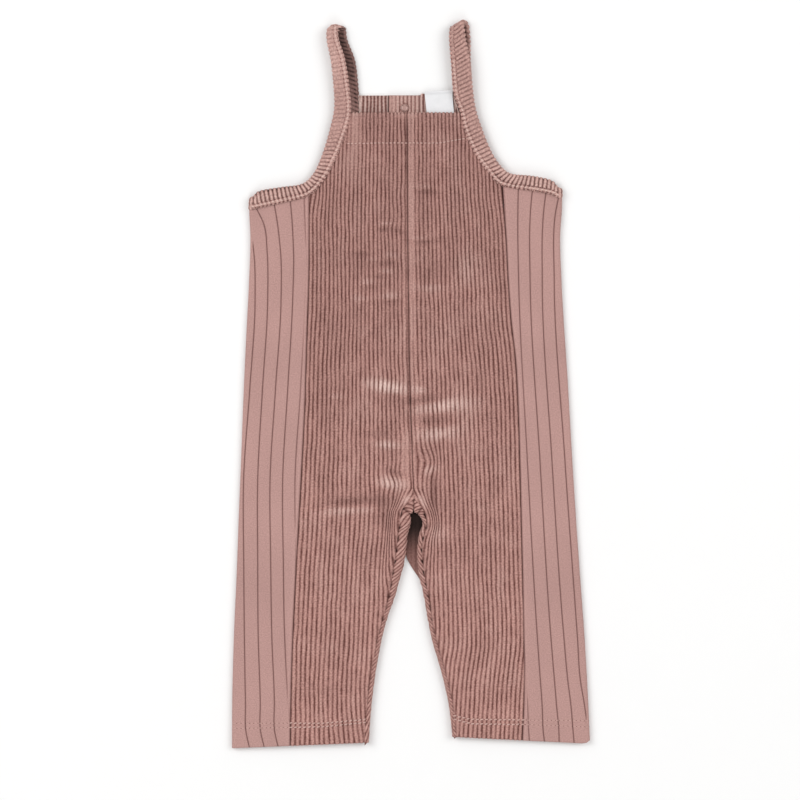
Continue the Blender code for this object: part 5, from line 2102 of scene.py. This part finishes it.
@dataclass
class Stitching:
    """Rows of thread on the finished cloth, each stitch laid on the surface below it."""

    cloths: Sequence[bpy.types.Object]
    trees: list[BVHTree] = field(init=False)

    def __post_init__(self) -> None:
        """Make the cloths ready to be felt for their height."""
        graph = bpy.context.evaluated_depsgraph_get()
        self.trees = [BVHTree.FromObject(cloth, graph) for cloth in self.cloths]

    def height(self, x: float, y: float) -> float:
        """Height of the topmost cloth at a place, in millimetres.

        Args:
            x: The place across.
            y: The place along the garment.

        Returns:
            The height above the ground.
        """
        start, down = Vector((x * MM, y * MM, FELT_FROM)), Vector((0.0, 0.0, -1.0))
        hits = [tree.ray_cast(start, down)[0] for tree in self.trees]
        return max([hit.z / MM for hit in hits if hit], default=0.0)

    @staticmethod
    def bead(length: float, width: float, height: float, segments: int) -> bpy.types.Mesh:
        """Model one stitch: a bead of thread, drawn long, with its underside pressed flat.

        Args:
            length: The bead's length.
            width: Its width.
            height: Its height.
            segments: How many sides it has.

        Returns:
            Its mesh.
        """
        bpy.ops.object.select_all(action="DESELECT")
        bpy.ops.mesh.primitive_uv_sphere_add(segments=segments, ring_count=5, radius=0.5)
        bead = bpy.context.object
        bpy.ops.object.mode_set(mode="EDIT")
        bpy.ops.transform.rotate(
            value=math.pi / 2, orient_axis="Y", center_override=(0.0, 0.0, 0.0)
        )
        bpy.ops.transform.resize(
            value=(length * MM, width * MM, height * MM), center_override=(0.0, 0.0, 0.0)
        )
        bpy.ops.mesh.select_all(action="DESELECT")
        bpy.ops.object.mode_set(mode="OBJECT")
        for vertex in bead.data.vertices:
            vertex.select = vertex.co.z < -0.1 * height * MM
        bpy.ops.object.mode_set(mode="EDIT")
        bpy.ops.transform.resize(value=(1.0, 1.0, 0.35), center_override=(0.0, 0.0, 0.0))
        bpy.ops.object.mode_set(mode="OBJECT")
        mesh = bead.data
        bpy.data.objects.remove(bead)
        return mesh

    def laid(self, point: Array, along: Array, skew: float, sink: float) -> Matrix:
        """Where a stitch lies: on the cloth, along its row, and dipping with the surface.

        Args:
            point: The place in plan.
            along: The row's direction there.
            skew: How far the stitch turns out of its row.
            sink: How far it is pulled into the cloth.

        Returns:
            The stitch's place and turn.
        """
        turn = math.atan2(along[1], along[0]) + skew
        ahead = np.array([math.cos(turn), math.sin(turn)]) * FELT_AHEAD
        low, high = (self.height(*(point + step)) for step in (-ahead, ahead))
        middle = max(self.height(*point), (low + high) / 2)
        rise = np.clip(high - low, -FELT_AHEAD, FELT_AHEAD)
        pitch = math.atan2(rise, 2 * FELT_AHEAD)
        place = Matrix.Translation((point[0] * MM, point[1] * MM, (middle - sink) * MM))
        return place @ Matrix.Rotation(turn, 4, "Z") @ Matrix.Rotation(-pitch, 4, "Y")

    @staticmethod
    def scatter(
        name: str,
        groups: Sequence[tuple[bpy.types.Mesh, Sequence[Matrix], bpy.types.Material]],
    ) -> bpy.types.Object:
        """Join many copies of small meshes into one piece.

        Args:
            name: The piece's name.
            groups: For each small mesh, the places of its copies and their material.

        Returns:
            The piece.
        """
        points, faces, slots, materials = [], [], [], []
        start = 0
        for mesh, places, material in groups:
            shape = np.array([vertex.co for vertex in mesh.vertices])
            corners = [tuple(polygon.vertices) for polygon in mesh.polygons]
            for place in places:
                turned = shape @ np.array(place.to_3x3()).T + np.array(place.translation)
                points.append(turned)
                faces += [tuple(corner + start for corner in face) for face in corners]
                start += len(shape)
            slots += [len(materials)] * (len(corners) * len(places))
            materials.append(material)
        mesh = bpy.data.meshes.new(name)
        mesh.from_pydata(np.concatenate(points).tolist(), [], faces)
        mesh.polygons.foreach_set("material_index", np.array(slots, np.int32))
        for material in materials:
            mesh.materials.append(material)
        mesh.shade_smooth()
        return added(name, mesh)

    def row(
        self,
        name: str,
        slot: str,
        lines: Sequence[Array],
        stitch: Stitch,
        thread: SewingThread | None = None,
    ) -> Piece:
        """Lay rows of stitches.

        Args:
            name: The piece's name.
            slot: The material slot of the cloth that it is sewn to.
            lines: The rows, each a line of points in plan.
            stitch: The kind of stitch.
            thread: The thread's finish.

        Returns:
            The stitches as one piece.
        """
        bead = self.bead(*stitch.size, 8)
        # Needle pits: dark beads of painted shade beside the stitches.
        pit_shade = self.bead(stitch.pit_size, stitch.pit_size * 0.8, 0.3, 6)
        beads, holes = [], []
        rng = np.random.default_rng(len(name))
        for line in lines:
            marks = evenly(np.asarray(line, float), stitch.pitch)
            along = np.gradient(marks, axis=0)
            along = along / np.linalg.norm(along, axis=1, keepdims=True)
            aside = np.column_stack([-along[:, 1], along[:, 0]])
            for point, way, out in zip(marks, along, aside):
                loose = rng.uniform(-0.12, 0.12, 3)
                at = point + out * loose[0] + way * loose[1]
                beads.append(self.laid(at, way, stitch.skew + loose[2], stitch.sink))
                for step in stitch.pits:
                    at = point + out * step + way * (stitch.pitch / 2 + loose[1])
                    holes.append(self.laid(at, way, 0.0, 0.02))
        material = (thread or SewingThread(f"{name}_thread")).make()
        groups = [(bead, beads, material), (pit_shade, holes, NeedlePitShade(f"{name}_pit").make())]
        return Piece(self.scatter(name, groups), slot)


# ---- studio


@dataclass
class Studio:
    """A pale ground, soft lights from all sides and the camera straight above."""

    camera_height: float = 2.6
    view_centre: tuple[float, float] = (-8.8, -12.8)
    view_width: float = 640.0
    cloth_height: float = 6.0
    sensor: float = 36.0

    def ground(self) -> None:
        """The plain pale floor."""
        bpy.ops.object.select_all(action="DESELECT")
        bpy.ops.mesh.primitive_plane_add(size=8.0, location=(0.0, 0.0, 0.0))
        floor = bpy.context.object
        floor.name = "ground"
        floor.data.transform(Matrix.Translation((0.0, 0.0, -0.1 * MM)))
        floor.data.materials.append(PalePaper("pale_paper").make())

    def light(self, name: str, place: Vector, size: float, power: float) -> None:
        """A square soft light that faces the garment.

        Args:
            name: The light's name.
            place: Where it hangs, in metres.
            size: The length of its side, in metres.
            power: Its power, in watts.
        """
        lamp = bpy.data.lights.new(name, "AREA")
        lamp.shape, lamp.size, lamp.energy = "SQUARE", size, power
        obj = added(name, lamp)
        obj.location = place
        obj.rotation_euler = (-place).to_track_quat("-Z", "Y").to_euler()
        obj.visible_camera = False

    def lights(self) -> None:
        """Soft light from above, a little stronger from the top left."""
        self.light("soft_left", Vector((-1.7, 0.7, 1.9)), 1.6, 34.5)
        self.light("soft_right", Vector((1.7, 0.5, 1.9)), 1.6, 24.6)
        self.light("soft_foot", Vector((0.0, -1.9, 1.8)), 1.4, 11.5)
        world = bpy.data.worlds.new("pale_room")
        world.use_nodes = True
        background = world.node_tree.nodes["Background"]
        background.inputs["Color"].default_value = (1.0, 0.995, 0.985, 1.0)
        background.inputs["Strength"].default_value = 0.51
        bpy.context.scene.world = world

    def camera(self) -> None:
        """The camera, framed so that the garment fills the picture as shown."""
        lens = bpy.data.cameras.new("above")
        lens.sensor_width = self.sensor
        away = self.camera_height - self.cloth_height * MM
        lens.lens = self.sensor * away / (self.view_width * MM)
        camera = added("above", lens)
        x, y = self.view_centre
        camera.location = (x * MM, y * MM, self.camera_height)
        bpy.context.scene.camera = camera

    def set_up(self) -> None:
        """Build the whole studio."""
        self.ground()
        self.lights()
        self.camera()
        bpy.context.scene.view_settings.view_transform = "Standard"


# ---- assembly


@dataclass
class Romper:
    """The whole garment."""

    pieces: list[Piece] = field(default_factory=list)
    strips: dict[Side, ArmholeStrip] = field(default_factory=dict)

    def panels(self) -> None:
        """Build the panels and strips of both sides."""
        for side in Side:
            cut = Cut(side)
            self.strips[side] = ArmholeStrip(cut)
            self.pieces += [
                BackPanel(cut).build(),
                FrontPanel(cut).build(),
                SidePanel(cut).build(),
                self.strips[side].build(),
            ]

    def neck(self) -> None:
        """Build what lies inside the back neck."""
        parts = NeckParts()
        self.pieces += [parts.placket(), parts.label(), parts.snap()]
        parts.stud()

    def threads(self) -> None:
        """Lay the stitching on the finished cloth."""
        stitching = Stitching([piece.obj for piece in self.pieces])
        for side in Side:
            tag = side.tag
            strip = self.strips[side]
            line = strip.edge_line(1.5)
            low, high = line[:, 1] < 166.0, line[:, 1] > STRAP_ROPE_Y[side]
            slot = f"strip_{tag}_corduroy"
            pale = SewingThread(f"rope_{tag}", (0.80, 0.59, 0.53), (0.48, 0.29, 0.25))
            dim = SewingThread(f"strap_rope_{tag}", (0.58, 0.38, 0.34), (0.30, 0.16, 0.14))
            rows = [
                (f"underarm_stitches_{tag}", line[low], (2.6, 1.55, 1.3), 1.6, pale),
                (f"binding_stitches_{tag}", line[~low & ~high], (2.8, 1.3, 1.0), 1.15, pale),
                (f"strap_stitches_{tag}", line[high], (2.6, 1.1, 0.8), 1.15, dim),
            ]
            for name, part, size, pit_size, thread in rows:
                if len(part) < FEWEST_POINTS:
                    continue
                rope = Stitch(3.3, size, 0.5 * side.value, (-1.4, 1.4), pit_size)
                self.pieces.append(stitching.row(name, slot, [part], rope, thread))
            cord, knit = self.split(HEM_STITCHING[side], side)
            muted = SewingThread(f"hem_knit_thread_{tag}", (0.60, 0.40, 0.355))
            for name, slot, part, stitch, thread in (
                (f"hem_stitches_{tag}", f"front_{tag}_corduroy", cord, HEM_STITCH, None),
                (f"hem_knit_stitches_{tag}", f"side_{tag}_rib_jersey", knit, KNIT_STITCH, muted),
            ):
                self.pieces.append(stitching.row(name, slot, part, stitch, thread))
        neck = [NECK_STITCHING]
        row = stitching.row("neck_stitches", "front_left_corduroy", neck, NECK_STITCH)
        self.pieces.append(row)

    @staticmethod
    def split(rows: Array, side: Side) -> tuple[list[Array], list[Array]]:
        """Part the hem rows at the side seam.

        Args:
            rows: The rows of stitches, in plan.
            side: The leg that they are on.

        Returns:
            The rows on the corduroy, and those on the jersey.
        """
        cord, knit = [], []
        for row in rows:
            fine = evenly(row, 1.0)
            seam = curve(BODY, f"{side.tag}_seam", fine[:, 1])
            on_knit = fine[:, 0] * side.value > seam * side.value
            knit.append(fine[on_knit])
            cord.append(fine[~on_knit])
        return cord, knit

    def build(self) -> None:
        """Build every piece and place it in the frame."""
        self.panels()
        self.neck()
        self.threads()
        for piece in self.pieces:
            piece.place()


def main() -> None:
    """Build the garment and the studio."""
    logging.basicConfig(level=logging.INFO, format="%(message)s")
    Romper().build()
    Studio().set_up()


if __name__ == "__main__":
    main()
